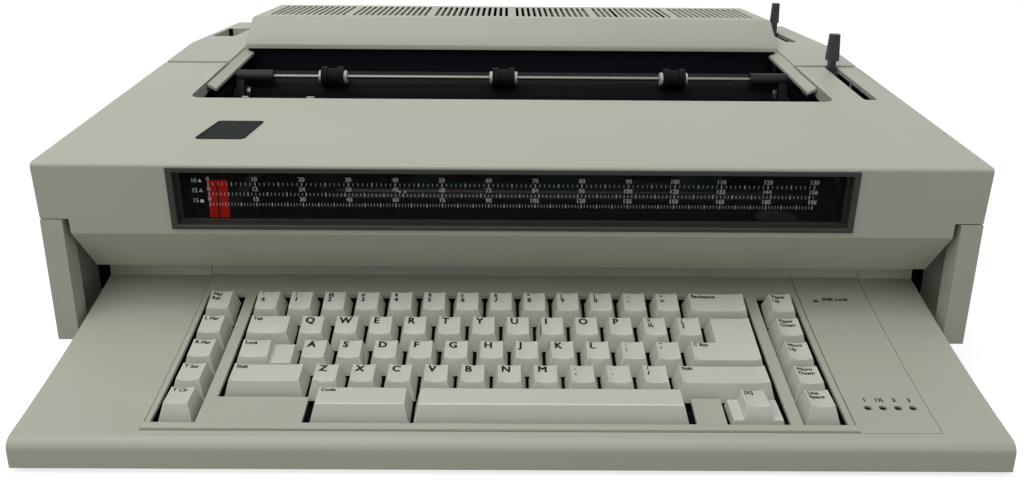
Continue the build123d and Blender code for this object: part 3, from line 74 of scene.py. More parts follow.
RIGHT, REAR, UP = Vector((1, 0, 0)), Vector((0, 1, 0)), Vector((0, 0, 1))
# Corners of a CAD node's triangles that lie this close together are one.
MERGED = 2e-6

Colour = tuple[float, float, float]
Frame = dict[str, object]
Mesh = bpy.types.Mesh
Piece = bpy.types.Object
Shape = bmesh.types.BMesh


class Grain(Enum):
    """How coarse the moulded or ground surface of a finish is."""

    SPARK_ERODED = 1500.0
    SATIN = 2600.0
    GROUND = 900.0


def fill(node: bpy.types.Node, values: dict[str | int, object]) -> None:
    """Set some inputs of a shader node.

    Args:
        node: The node.
        values: What goes into each input, by its name or number.
    """
    for name, value in values.items():
        node.inputs[name].default_value = value


@dataclass(frozen=True)
class Finish:
    """A finish with a slight drift in its colour and a fine grain in its surface.

    Args:
        name: Name of the Blender material.
        colour: Base colour, linear.
        drift: Second colour, which the base drifts towards in soft patches.
        roughness: Roughness where the surface is clean.
        grain: How coarse the surface grain is.
        grain_height: Height of the grain, in metres.
        metallic: 1 for bare metal.
        specular: How much of the light its surface mirrors, 0.5 for a plain plastic.
        clear: Share of the light that goes on through it.
        glow: Strength of a painted glow, light given off by a part that is no lamp.
    """

    PATCH_SCALE, PATCH_DETAIL = 9.0, 5.0
    GRAIN_DETAIL, GRAIN_STRENGTH = 3.0, 0.6
    POLISHED, DULLED = -0.05, 0.07

    name: str
    colour: Colour
    drift: Colour
    roughness: float = 0.5
    grain: Grain = Grain.SATIN
    grain_height: float = 0.00001
    metallic: float = 0.0
    specular: float = 0.5
    clear: float = 0.0
    glow: float = 0.0

    def material(self) -> bpy.types.Material:
        """Build the material, or return it if it was built before.

        Returns:
            The finished node material.
        """
        known = bpy.data.materials.get(self.name)
        if known:
            return known
        made = bpy.data.materials.new(self.name)
        made.use_nodes = True
        nodes, links = made.node_tree.nodes, made.node_tree.links
        shader = nodes["Principled BSDF"]
        fill(shader, {"Metallic": self.metallic, "Specular IOR Level": self.specular})
        fill(shader, {"Alpha": 1 - self.clear})
        # Painted glow: the part gives off light though it is no lamp.
        if self.glow:
            fill(shader, {"Emission Color": (*self.colour, 1), "Emission Strength": self.glow})
        place = nodes.new("ShaderNodeTexCoord").outputs["Object"]

        patches = nodes.new("ShaderNodeTexNoise")
        fill(patches, {"Scale": self.PATCH_SCALE, "Detail": self.PATCH_DETAIL})
        links.new(place, patches.inputs["Vector"])
        tint = nodes.new("ShaderNodeMix")
        tint.data_type = "RGBA"
        fill(tint, {"A": (*self.colour, 1), "B": (*self.drift, 1)})
        links.new(patches.outputs["Fac"], tint.inputs["Factor"])
        links.new(tint.outputs["Result"], shader.inputs["Base Color"])

        wear = nodes.new("ShaderNodeMapRange")
        ends = {"To Min": self.roughness + self.POLISHED, "To Max": self.roughness + self.DULLED}
        fill(wear, ends)
        links.new(patches.outputs["Fac"], wear.inputs["Value"])
        links.new(wear.outputs["Result"], shader.inputs["Roughness"])

        if self.grain_height:
            self.add_grain(made, place)
        return made

    def add_grain(self, made: bpy.types.Material, place: bpy.types.NodeSocket) -> None:
        """Add the surface grain to the material.

        Args:
            made: The material.
            place: Where its textures take their place from.
        """
        nodes, links = made.node_tree.nodes, made.node_tree.links
        grain = nodes.new("ShaderNodeTexNoise")
        fill(grain, {"Scale": self.grain.value, "Detail": self.GRAIN_DETAIL})
        links.new(place, grain.inputs["Vector"])
        bump = nodes.new("ShaderNodeBump")
        fill(bump, {"Distance": self.grain_height, "Strength": self.GRAIN_STRENGTH})
        links.new(grain.outputs["Fac"], bump.inputs["Height"])
        links.new(bump.outputs["Normal"], nodes["Principled BSDF"].inputs["Normal"])


METAL = (Grain.GROUND, 0.000006, 1.0)
HOUSING = Finish(
    "housing_plastic", (0.455, 0.46, 0.385), (0.425, 0.43, 0.355), 0.5, Grain.SPARK_ERODED, 0.00003
)
# Lighter housing colour for rounded edges: a painted highlight where the edges catch the light.
HOUSING_EDGE_HIGHLIGHT = Finish("housing_edge_highlight", (0.5, 0.505, 0.43), (0.47, 0.475, 0.4), 0.36, Grain.SPARK_ERODED)
KEY_CAP = Finish("key_cap_plastic", (0.62, 0.63, 0.555), (0.585, 0.595, 0.52), 0.42)
# Lighter key-cap colour for rounded edges: a painted highlight.
KEY_EDGE_HIGHLIGHT = Finish("key_cap_edge_highlight", (0.69, 0.7, 0.63), (0.66, 0.67, 0.6), 0.3)
# Near-black painted shade for the housing's inner faces that the light hardly reaches.
INNER_SHADE = Finish("housing_painted_shade", (0.003, 0.004, 0.006), (0.004, 0.005, 0.008), 0.8, specular=0.02)
LEVER = Finish("lever_plastic", (0.03, 0.036, 0.044), (0.024, 0.029, 0.036), 0.38)
DARK = Finish("dark_plastic", (0.01, 0.011, 0.015), (0.007, 0.008, 0.011), 0.5, specular=0.25)
BEZEL = Finish("scale_bezel_plastic", (0.04, 0.04, 0.034), (0.033, 0.033, 0.029), 0.38)
RUBBER = Finish(
    "black_rubber", (0.006, 0.006, 0.008), (0.01, 0.01, 0.012), 0.6, Grain.GROUND, 0.00004, 0.0, 0.07
)
NYLON = Finish("white_nylon", (0.62, 0.63, 0.57), (0.57, 0.58, 0.52), 0.35)
CHROME = Finish("satin_chrome", (0.2, 0.19, 0.17), (0.17, 0.16, 0.145), 0.38, Grain.SATIN, 0.000003, 1.0)
OILED = Finish("oiled_steel", (0.045, 0.045, 0.047), (0.035, 0.035, 0.037), 0.4, *METAL)
STEEL = Finish("ground_steel", (0.4, 0.4, 0.39), (0.34, 0.34, 0.34), 0.32, *METAL)
# Steel of the inner frames, paper pan and key plate: dark steel, made near black as painted shade of the
# interior.
DARK_STEEL_AND_SHADE = Finish("dark_steel_and_painted_shade", (0.003, 0.004, 0.006), (0.004, 0.005, 0.008), 0.6, specular=0.06)
BARE = {"grain_height": 0.0}
GLASS = Finish(
    "smoked_window", (0.018, 0.02, 0.017), (0.015, 0.017, 0.014), 0.6, specular=0.0, clear=0.55, **BARE
)
# The red pointer glows as painted light, so it shows through the dark window.
RED = Finish("pointer_plastic", (0.8, 0.012, 0.014), (0.72, 0.01, 0.012), 0.3, glow=0.55)
SCALE_INK = Finish("scale_ink", (0.62, 0.64, 0.64), (0.58, 0.6, 0.6), 0.6, **BARE)
TICK_INK = Finish("tick_ink", (0.36, 0.37, 0.38), (0.3, 0.31, 0.32), 0.6, **BARE)
KEY_INK = Finish("key_ink", (0.008, 0.009, 0.01), (0.012, 0.013, 0.014), 0.5, specular=0.2, **BARE)
LENS = Finish("lamp_window", (0.004, 0.004, 0.005), (0.006, 0.006, 0.007), 0.25, specular=0.3)
PLATE = Finish("black_plate", (0.01, 0.013, 0.012), (0.014, 0.018, 0.016), 0.6, specular=0.06)
BOARD = Finish("green_laminate", (0.03, 0.13, 0.06), (0.04, 0.16, 0.07), 0.4)
CHIP = Finish("chip_case", (0.012, 0.012, 0.013), (0.016, 0.016, 0.016), 0.4)
CASE = Finish("painted_case", (0.05, 0.052, 0.056), (0.04, 0.042, 0.046), 0.45)


def add_object(name: str, data: bpy.types.ID) -> Piece:
    """Link a new object.

    Args:
        name: Name of the object.
        data: Its mesh, curve, camera or light.

    Returns:
        The object, at the origin.
    """
    made = bpy.data.objects.new(name, data)
    bpy.context.scene.collection.objects.link(made)
    return made


def plain_mesh(piece: Piece) -> Mesh:
    """Plain mesh of what an object shows.

    Args:
        piece: An object that is a curve or has modifiers.

    Returns:
        A new mesh.
    """
    graph = bpy.context.evaluated_depsgraph_get()
    return bpy.data.meshes.new_from_object(piece.evaluated_get(graph))


def make_piece(name: str, body: str, shape: Shape, finish: Finish) -> Piece:
    """Turn a shape into a piece of one finish.

    Args:
        name: Name of the piece.
        body: Body that it rides on.
        shape: Its shape, which is used up.
        finish: Its finish.

    Returns:
        The piece.
    """
    mesh = bpy.data.meshes.new(name)
    shape.to_mesh(mesh)
    shape.free()
    mesh.materials.append(finish.material())
    piece = add_object(name, mesh)
    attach(piece, body)
    return piece


def node_surface(frame: Frame, *names: str) -> BVHTree:
    """Search tree of the surface of some CAD nodes.

    Args:
        names: Names of the nodes.

    Returns:
        One tree that holds all their triangles.
    """
    points: list[Vector] = []
    faces: list[list[int]] = []
    for name in names:
        mesh = frame["nodes"][name].data
        first = len(points)
        points += [vertex.co.copy() for vertex in mesh.vertices]
        faces += [[first + index for index in face.vertices] for face in mesh.polygons]
    return BVHTree.FromPolygons(points, faces)


class Enclosure:
    """Tells the inner faces of the housing, which get near-black painted shade, from the faces that the
    light reaches.
    """

    NODES = ("base_housing", "keyboard_tray", "front_cover", "rear_cover")
    START, REACH = 0.2 * MM, 0.6
    FRONT = -0.105
    RAYS, SHUT_SHARE = 40, 0.68

    def __init__(self, frame: Frame) -> None:
        """Gather the housing's surface and the directions to look in."""
        self.surface = node_surface(frame, *self.NODES)
        golden = math.pi * (3 - math.sqrt(5))
        self.rays = []
        for index in range(self.RAYS):
            height = (index + 0.5) / self.RAYS
            flat = math.sqrt(1 - height * height)
            angle = golden * index
            self.rays.append(Vector((flat * math.cos(angle), flat * math.sin(angle), height)))

    def covers(self, point: Vector, normal: Vector) -> bool:
        """Whether a face at a point is shut in by the housing.

        Args:
            point: A point on the face.
            normal: The way that the face looks.

        Returns:
            True where nearly every way out is blocked, behind the key field.
        """
        if point.y < self.FRONT:
            return False
        turn = normal.to_track_quat("Z", "Y")
        start = point + normal * self.START
        hits = (self.surface.ray_cast(start, turn @ ray, self.REACH)[0] for ray in self.rays)
        return sum(1 for hit in hits if hit) > self.SHUT_SHARE * self.RAYS


@dataclass
class Dressing:
    """A CAD node that keeps its shape and gets rounded edges and a finish.

    Args:
        node: Name of the CAD node.
        finish: The finish that it gets.
        edge: Radius of its edges in metres, or 0 to leave it as it is.
        worn: Finish of its rounded edges, lighter than the rest as a painted highlight.
        segments: Steps of a rounded edge.
        lined: Whether faces that the housing shuts in get near-black painted shade.
        parts: Other finishes, each with a test of a face's middle and normal.
    """

    FLAT, SHARP, SHADED_SHARP = math.radians(0.03), math.radians(28), math.radians(35)
    WORN, LINING, FIRST_PART = 1, 2, 3
    LINED_SHARE, EDGE_SHARE = 0.5, 0.35

    node: str
    finish: Finish
    edge: float = 0.0
    worn: Finish | None = None
    segments: int = 2
    lined: bool = False
    parts: Sequence[tuple[Finish, Callable[[Vector, Vector], bool]]] = ()

    def build(self, frame: Frame, enclosure: Enclosure) -> Piece:
        """Make a finished copy of the node that stands for it.

        Args:
            enclosure: What tells the faces inside the housing.

        Returns:
            The object that shows.
        """
        source = frame["nodes"][self.node]
        shell = bmesh.new()
        shell.from_mesh(source.data)
        bmesh.ops.remove_doubles(shell, verts=shell.verts, dist=MERGED)
        bmesh.ops.dissolve_limit(
            shell, angle_limit=self.FLAT, verts=shell.verts, edges=shell.edges, delimit={"NORMAL"}
        )
        finishes = [self.finish, self.worn or self.finish, INNER_SHADE, *(part[0] for part in self.parts)]
        if self.lined:
            every = [*shell.verts, *shell.edges, *shell.faces]
            cut = (0, enclosure.FRONT, 0)
            bmesh.ops.bisect_plane(shell, geom=every, plane_co=cut, plane_no=REAR)
        self.sort_faces(shell, enclosure)
        self.weigh_edges(shell)
        mesh = bpy.data.meshes.new(f"{self.node}_dressed")
        shell.to_mesh(mesh)
        shell.free()
        for finish in finishes:
            mesh.materials.append(finish.material())
        for face in mesh.polygons:
            face.use_smooth = True
        mesh.set_sharp_from_angle(angle=self.SHADED_SHARP)
        piece = add_object(f"{self.node}_dressed", mesh)
        if self.edge:
            bevel = piece.modifiers.new("edges", "BEVEL")
            bevel.width = self.edge
            bevel.segments = self.segments
            bevel.limit_method = "WEIGHT"
            bevel.use_clamp_overlap = True
            bevel.harden_normals = True
            # Bevel faces get the lighter painted-highlight finish.
            bevel.material = self.WORN if self.worn else -1
            mesh = plain_mesh(piece)
            piece.modifiers.clear()
            piece.data = mesh
        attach(piece, source["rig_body"])
        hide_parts(self.node)
        return piece

    def sort_faces(self, shell: Shape, enclosure: Enclosure) -> None:
        """Give each face the number of its finish.

        Args:
            shell: The node's merged mesh.
            enclosure: What tells the faces inside the housing.
        """
        for face in shell.faces:
            middle = face.calc_center_median_weighted()
            for number, (_, belongs) in enumerate(self.parts, start=self.FIRST_PART):
                if belongs(middle, face.normal):
                    face.material_index = number
        if not self.lined:
            return
        # Faces that the housing shuts in get the near-black painted shade.
        shut = dict.fromkeys(shell.faces, 0.0)
        for corners in shell.calc_loop_triangles():
            face = corners[0].face
            first, second, third = (corner.vert.co for corner in corners)
            if enclosure.covers((first + second + third) / 3, face.normal):
                shut[face] += (second - first).cross(third - first).length / 2
        for face, area in shut.items():
            if area > self.LINED_SHARE * face.calc_area():
                face.material_index = self.LINING

    def weigh_edges(self, shell: Shape) -> None:
        """Mark the sharp outer edges, less where a face is too narrow for them.

        Args:
            shell: The node's merged mesh.
        """
        weights = shell.edges.layers.float.new("bevel_weight_edge")
        if not self.edge:
            return
        for line in shell.edges:
            faces = line.link_faces
            sharp = len(faces) == 2 and line.calc_face_angle(0) > self.SHARP
            hidden = all(face.material_index == self.LINING for face in faces)
            if sharp and not hidden:
                room = min(2 * face.calc_area() / max(face.calc_perimeter(), 1e-9) for face in faces)
                room = min(room, line.calc_length())
                line[weights] = max(0.0, min(1.0, self.EDGE_SHARE * room / self.edge))


class Lettering:
    """Printed letters and signs, gathered into one thin mesh.

    Args:
        surface: Surface that the print lies on, or None where it is flat.
    """

    CAP = 0.0
    SHAPES: dict[str, Mesh] = {}
    STRIKES = tuple((across * 0.04, up * 0.035) for across in range(4) for up in range(3))
    CURVE_STEPS = 2
    LIFT, PROBE_START, PROBE_LENGTH = 0.04 * MM, 6 * MM, 14 * MM

    def __init__(self, surface: BVHTree | None = None) -> None:
        """Start with a blank print."""
        self.surface = surface
        self.sheet = bmesh.new()

    @classmethod
    def outline(cls, text: str, size: float) -> Mesh:
        """Flat mesh of a text in the plain font.

        Args:
            text: What it says.
            size: Size of the font.

        Returns:
            The mesh, with its left end at X 0 and its base line at Y 0.
        """
        curve = bpy.data.curves.new("lettering", "FONT")
        curve.body = text
        curve.size = size
        curve.resolution_u = cls.CURVE_STEPS
        holder = add_object("lettering", curve)
        plain = plain_mesh(holder)
        bpy.data.objects.remove(holder)
        return plain

    @classmethod
    def shape(cls, text: str) -> Mesh:
        """Flat mesh of a text with thick strokes, whose capitals are one unit high.

        Args:
            text: What it says.

        Returns:
            The mesh, which is made once for each text.
        """
        if not cls.CAP:
            cls.CAP = max(vertex.co.y for vertex in cls.outline("H", 1.0).vertices)
        if text not in cls.SHAPES:
            plain = cls.outline(text, 1 / cls.CAP)
            strikes = bmesh.new()
            for across, up in cls.STRIKES:
                struck = plain.copy()
                struck.transform(Matrix.Translation((across, up, 0)))
                strikes.from_mesh(struck)
                bpy.data.meshes.remove(struck)
            plain.clear_geometry()
            strikes.to_mesh(plain)
            strikes.free()
            cls.SHAPES[text] = plain
        return cls.SHAPES[text]

    def write(self, text: str, size: float, place: Matrix, centred: bool = False) -> None:
        """Add a text.

        Args:
            text: What it says.
            size: Height of its capitals.
            place: Plane of the print: X along the base line, Y up and Z out of the surface.
            centred: Whether it is centred on the place, instead of starting there.
        """
        shape = self.shape(text)
        ends = [vertex.co.x for vertex in shape.vertices]
        shift = -(min(ends) + max(ends)) / 2 if centred else 0.0
        known = len(self.sheet.verts)
        self.sheet.from_mesh(shape)
        move = place @ Matrix.Scale(size, 4) @ Matrix.Translation((shift, 0, 0))
        self.lay(list(self.sheet.verts)[known:], move)

    def lay(self, points: Iterable[bmesh.types.BMVert], move: Matrix) -> None:
        """Put new points in place, and down on the surface where there is one.

        Args:
            points: The new points.
            move: Where they go.
        """
        out = (move.to_3x3() @ UP).normalized()
        for point in points:
            spot = move @ point.co
            if self.surface:
                start = spot + out * self.PROBE_START
                spot = self.surface.ray_cast(start, -out, self.PROBE_LENGTH)[0] or spot
            point.co = spot + out * self.LIFT

    def finish(self, name: str, body: str, ink: Finish) -> Piece:
        """Turn the print into a piece.

        Args:
            name: Name of the piece.
            body: Body that it rides on.
            ink: Its finish.

        Returns:
            The piece.
        """
        return make_piece(name, body, self.sheet, ink)


class RowTree:
    """Geometry Nodes that set blocks out in an even row along X."""

    NAME = "even_row"
    SOCKETS = (
        ("Geometry", "OUTPUT", "Geometry"),
        ("Geometry", "INPUT", "Geometry"),
        ("Count", "INPUT", "Int"),
        ("Pitch", "INPUT", "Float"),
        ("Size", "INPUT", "Vector"),
        ("Long Every", "INPUT", "Int"),
        ("Long Scale", "INPUT", "Vector"),
    )

    def group(self) -> bpy.types.GeometryNodeTree:
        """Build the tree, or return it if it was built before.

        Returns:
            The node group, with named inputs for its sizes.
        """
        known = bpy.data.node_groups.get(self.NAME)
        if known:
            return known
        tree = bpy.data.node_groups.new(self.NAME, "GeometryNodeTree")
        for name, way, kind in self.SOCKETS:
            tree.interface.new_socket(name, in_out=way, socket_type=f"NodeSocket{kind}")
        nodes = tree.nodes
        given = nodes.new("NodeGroupInput")
        step = nodes.new("ShaderNodeCombineXYZ")
        row = nodes.new("GeometryNodeMeshLine")
        block = nodes.new("GeometryNodeMeshCube")
        index = nodes.new("GeometryNodeInputIndex")
        rest = nodes.new("FunctionNodeIntegerMath")
        rest.operation = "MODULO"
        is_long = nodes.new("FunctionNodeCompare")
        is_long.data_type = "INT"
        is_long.operation = "EQUAL"
        scale = nodes.new("GeometryNodeSwitch")
        scale.input_type = "VECTOR"
        fill(scale, {"False": (1, 1, 1)})
        place = nodes.new("GeometryNodeInstanceOnPoints")
        real = nodes.new("GeometryNodeRealizeInstances")
        result = nodes.new("NodeGroupOutput")
        wires = (
            (given, "Pitch", step, "X"),
            (given, "Count", row, "Count"),
            (step, "Vector", row, "Offset"),
            (given, "Size", block, "Size"),
            (index, "Index", rest, 0),
            (given, "Long Every", rest, 1),
            (rest, 0, is_long, "A"),
            (is_long, "Result", scale, "Switch"),
            (given, "Long Scale", scale, "True"),
            (row, "Mesh", place, "Points"),
            (block, "Mesh", place, "Instance"),
            (scale, "Output", place, "Scale"),
            (place, "Instances", real, "Geometry"),
            (real, "Geometry", result, "Geometry"),
        )
        for source, leaving, target, entering in wires:
            tree.links.new(source.outputs[leaving], target.inputs[entering])
        return tree

    def row(
        self,
        size: Vector,
        place: Matrix,
        count: int = 1,
        pitch: float = 0.0,
        long_every: int = 1000,
        long_scale: Vector = Vector((1, 1, 1)),
    ) -> Mesh:
        """Run the tree and put the row in place.

        Args:
            size: Size of a block.
            place: Where the first block's middle goes, and the way the row runs.
            count: Number of blocks.
            pitch: Distance between them.
            long_every: Every so many blocks, from the first, one is larger.
            long_scale: How much larger it is.

        Returns:
            The row as a plain mesh.
        """
        holder = add_object("row", bpy.data.meshes.new("row"))
        maker = holder.modifiers.new("row", "NODES")
        maker.node_group = self.group()
        values = {"Count": count, "Pitch": pitch, "Size": size}
        values |= {"Long Every": long_every, "Long Scale": long_scale}
        for item in maker.node_group.interface.items_tree:
            if item.in_out == "INPUT" and item.name in values:
                maker[item.identifier] = values[item.name]
        mesh = plain_mesh(holder)
        bpy.data.objects.remove(holder)
        mesh.transform(place)
        return mesh


def join(name: str, body: str, meshes: Iterable[Mesh], finish: Finish) -> Piece:
    """Make one piece of several meshes of one finish.

    Args:
        name: Name of the piece.
        body: Body that it rides on.
        meshes: The meshes, in place.
        finish: Their finish.

    Returns:
        The piece.
    """
    whole = bmesh.new()
    for mesh in meshes:
        whole.from_mesh(mesh)
        bpy.data.meshes.remove(mesh)
    return make_piece(name, body, whole, finish)


def plane(origin: Vector, along: Vector = RIGHT, up: Vector = REAR) -> Matrix:
    """Matrix of a plane for print and rows.

    Args:
        origin: Its origin.
        along: Its X direction.
        up: Its Y direction, square to the first.

    Returns:
        A matrix whose Z stands out of the plane.
    """
    along, up = along.normalized(), up.normalized()
    out = along.cross(up)
    turn = Matrix((along, up, out)).transposed().to_4x4()
    return Matrix.Translation(origin) @ turn


@dataclass
class Housing:
    """Base, keyboard wing, inserts and the two covers.

    Args:
        edge: Radius of the moulded edges.
        plate_corners: Corners of the bare plate on the front cover, as (X, Y).
        plate_thickness: How far that plate stands up.
        plate_round: Radius of its corners and sides.
    """

    SKY, ROUND_STEPS, STEEP_SHARE = 0.3, 4, 0.9
    # Size of a dark strip painted as the shade in a screw head's recess.
    RECESS = Vector((3.4, 0.06, 0.8)) * MM

    edge: float = 1.0 * MM
    plate_corners: tuple[tuple[float, float], ...] = (
        (-0.1777, -0.0880),
        (-0.1507, -0.0880),
        (-0.1547, -0.1190),
        (-0.1828, -0.1190),
    )
    plate_thickness: float = 0.5 * MM
    plate_round: float = 1.2 * MM

    def dressings(self) -> list[Dressing]:
        """List the housing's nodes with their finishes."""
        return [
            Dressing("base_housing", HOUSING, self.edge, HOUSING_EDGE_HIGHLIGHT, lined=True),
            Dressing("keyboard_tray", HOUSING, self.edge, HOUSING_EDGE_HIGHLIGHT, lined=True),
            Dressing("key_bezel", HOUSING, 0.4 * MM, HOUSING_EDGE_HIGHLIGHT),
            Dressing("indicator_panel", HOUSING, 0.4 * MM, HOUSING_EDGE_HIGHLIGHT),
            Dressing("front_cover", HOUSING, self.edge, HOUSING_EDGE_HIGHLIGHT, lined=True),
            Dressing("rear_cover", HOUSING, self.edge, HOUSING_EDGE_HIGHLIGHT, lined=True),
            Dressing("rubber_feet", RUBBER, 0.5 * MM),
            Dressing("housing_screws", STEEL, 0.2 * MM),
        ]

    def plate(self, frame: Frame) -> Piece:
        """Make the bare black plate on the front cover.


        Returns:
            The plate.
        """
        cover = node_surface(frame, "front_cover")
        body = bmesh.new()
        rim = []
        for x, y in self.plate_corners:
            top = cover.ray_cast(Vector((x, y, self.SKY)), -UP)[0]
            rim.append(body.verts.new(top + UP * self.plate_thickness))
        body.faces.new(reversed(rim))
        lid = bmesh.ops.extrude_face_region(body, geom=list(body.faces))["geom"]
        foot = [item for item in lid if isinstance(item, bmesh.types.BMVert)]
        height = 2 * self.plate_thickness
        bmesh.ops.translate(body, vec=-height * UP, verts=foot)
        bmesh.ops.recalc_face_normals(body, faces=body.faces)
        drop = self.STEEP_SHARE * height
        steep = [line for line in body.edges if abs(line.verts[0].co.z - line.verts[1].co.z) > drop]
        bmesh.ops.bevel(
            body, geom=steep, offset=self.plate_round, segments=self.ROUND_STEPS, affect="EDGES"
        )
        return make_piece("cover_plate", "cover", body, PLATE)

    def screw_recesses(self, frame: Frame) -> Piece:
        """Make dark crosses on the screw heads under the base, painted shade standing for their
        recesses.

        Returns:
            The painted shade crosses as one piece.
        """
        rows = []
        for spot in island_feet(frame["nodes"]["housing_screws"].data):
            for along in (RIGHT, REAR):
                rows.append(RowTree().row(self.RECESS, plane(spot, along, -UP)))
        return join("screw_recesses", "base", rows, DARK)


def island_feet(mesh: Mesh) -> list[Vector]:
    """Middles of the undersides of the separate solids in a CAD node's mesh.

    Args:
        mesh: The node's mesh.

    Returns:
        The middles, from left to right.
    """
    shell = bmesh.new()
    shell.from_mesh(mesh)
    bmesh.ops.remove_doubles(shell, verts=shell.verts, dist=MERGED)
    left = set(shell.verts)
    feet = []
    while left:
        island = [left.pop()]
        for point in island:
            near = {line.other_vert(point) for line in point.link_edges} & left
            left -= near
            island += near
        xs, ys, zs = zip(*(point.co for point in island))
        feet.append(Vector(((min(xs) + max(xs)) / 2, (min(ys) + max(ys)) / 2, min(zs))))
    shell.free()
    return sorted(feet, key=lambda foot: (round(foot.x, 4), foot.y))


@dataclass
class ScaleWindow:
    """Dark bezel, smoked window and its printed scales, and the red pointer behind.

    Args:
        lean: How far the face leans back for each unit of height.
        glass_depth: How far the window lies behind the face.
        zero_x: Place of the scales' zero.
        line: Length of the scales.
        number_size: Height of the numbers.
        blade_y: Front of the pointer's blade.
        dots_x: Places of the two dots on the middle scale.
        dots_height: Their height over the middle.
        rows: Each scale's steps, the step between numbers, the height of its numbers
            and its ticks over the middle, and the sign that stands for it.
    """

    LINE, LINE_Z = Vector((0.9, 21.6, 0.06)) * MM, 102 * MM
    BLADE_DEPTH = 1.3 * MM
    TICK = Vector((0.34, 1.7, 0.04)) * MM
    LONG_TICK = (5, Vector((1.9, 1.3, 1)))
    DOT = Vector((0.9, 0.9, 0.04)) * MM
    PRINT_LIFT = 0.03 * MM
    SIGN_INDENT, SIGN_DROP = 9.6 * MM, 0.9
    OUTLINE_INDENT, OUTLINE_DROP = 4.3 * MM, 0.4
    # Height over the window's middle and corners, in millimetres, of each face of the signs.
    OUTLINES = (
        (8.1, ((-1, 0), (1, 0), (0, 2))),
        (2.3, ((-1, 0), (1, 0), (0.6, 0.3), (-0.6, 0.3))),
        (2.3, ((1, 0), (0, 2), (0, 1.4), (0.6, 0.3))),
        (2.3, ((0, 2), (-1, 0), (-0.6, 0.3), (0, 1.4))),
        (-4.0, ((-0.9, 0), (0.9, 0), (0.9, 1.8), (-0.9, 1.8))),
    )
    # Middle of the window on the cover's face.
    CENTRE = Vector((0, -156.28, 109)) * MM

    lean: float = -2.5 / 41
    glass_depth: float = 5.0 * MM
    zero_x: float = -166.0 * MM
    line: float = 330.2 * MM
    number_size: float = 2.35 * MM
    blade_y: float = -137.8 * MM
    dots_x: tuple[float, ...] = (-62.1 * MM, -59.1 * MM)
    dots_height: float = 2.6 * MM
    rows: tuple[tuple[int, int, float, float, str], ...] = (
        (130, 10, 8.3, 6.6, "10"),
        (156, 12, 2.5, 0.7, "12"),
        (195, 15, -3.4, -5.4, "15"),
    )

    def dressings(self) -> list[Dressing]:
        """List the window's nodes with their finishes."""
        return [
            Dressing("scale_bezel", BEZEL, 0.5 * MM, segments=3),
            Dressing("scale_plate", GLASS),
            Dressing("scale_pointer", RED, parts=((DARK, self.is_arm),)),
        ]

    def is_arm(self, middle: Vector, _: Vector) -> bool:
        """Whether a face of the pointer is on the arm behind its blade."""
        return middle.y > self.blade_y + self.BLADE_DEPTH

    def pointer_line(self) -> Piece:
        """Make the dark line down the middle of the pointer's blade.

        Returns:
            The line.
        """
        place = plane(Vector((self.zero_x, self.blade_y, self.LINE_Z)), RIGHT, UP)
        return join("pointer_line", "carrier", [RowTree().row(self.LINE, place)], DARK)

    def face(self, x: float, height: float) -> Matrix:
        """Plane of the print at a place on the window.

        Args:
            x: Place along the window.
            height: Place over the window's middle, along the face.

        Returns:
            The plane's matrix.
        """
        up = Vector((0, self.lean, 1)).normalized()
        depth = self.glass_depth - self.PRINT_LIFT
        spot = self.CENTRE + Vector((x, 0, 0)) + up * height - RIGHT.cross(up) * depth
        return plane(spot, RIGHT, up)

    def scales(self) -> list[Piece]:
        """Make the printed numbers, signs and ticks.

        Returns:
            The print and the ticks.
        """
        numbers = Lettering()
        ticks = []
        for steps, between, number_height, tick_height, sign in self.rows:
            for step in range(0, steps + 1, between):
                place = self.face(self.zero_x + self.line * step / steps, number_height * MM)
                numbers.write(str(step), self.number_size, place, centred=True)
            place = self.face(self.zero_x - self.SIGN_INDENT, (number_height - self.SIGN_DROP) * MM)
            numbers.write(sign, self.number_size, place)
            place = self.face(self.zero_x, tick_height * MM)
            pitch = self.line / steps
            ticks.append(RowTree().row(self.TICK, place, steps + 1, pitch, *self.LONG_TICK))
        dots = [RowTree().row(self.DOT, self.face(x, self.dots_height)) for x in self.dots_x]
        self.signs(numbers)
        return [
            numbers.finish("scale_numbers", "cover", SCALE_INK),
            join("scale_ticks", "cover", ticks, TICK_INK),
            join("scale_dots", "cover", dots, SCALE_INK),
        ]

    def signs(self, sheet: Lettering) -> None:
        """Add the filled triangle, the open triangle and the square beside the scales.

        Args:
            sheet: The print that they join.
        """
        across = self.zero_x - self.OUTLINE_INDENT
        for height, corners in self.OUTLINES:
            points = [sheet.sheet.verts.new((x * MM, y * MM, 0)) for x, y in corners]
            sheet.sheet.faces.new(points)
            sheet.lay(points, self.face(across, (height - self.OUTLINE_DROP) * MM))


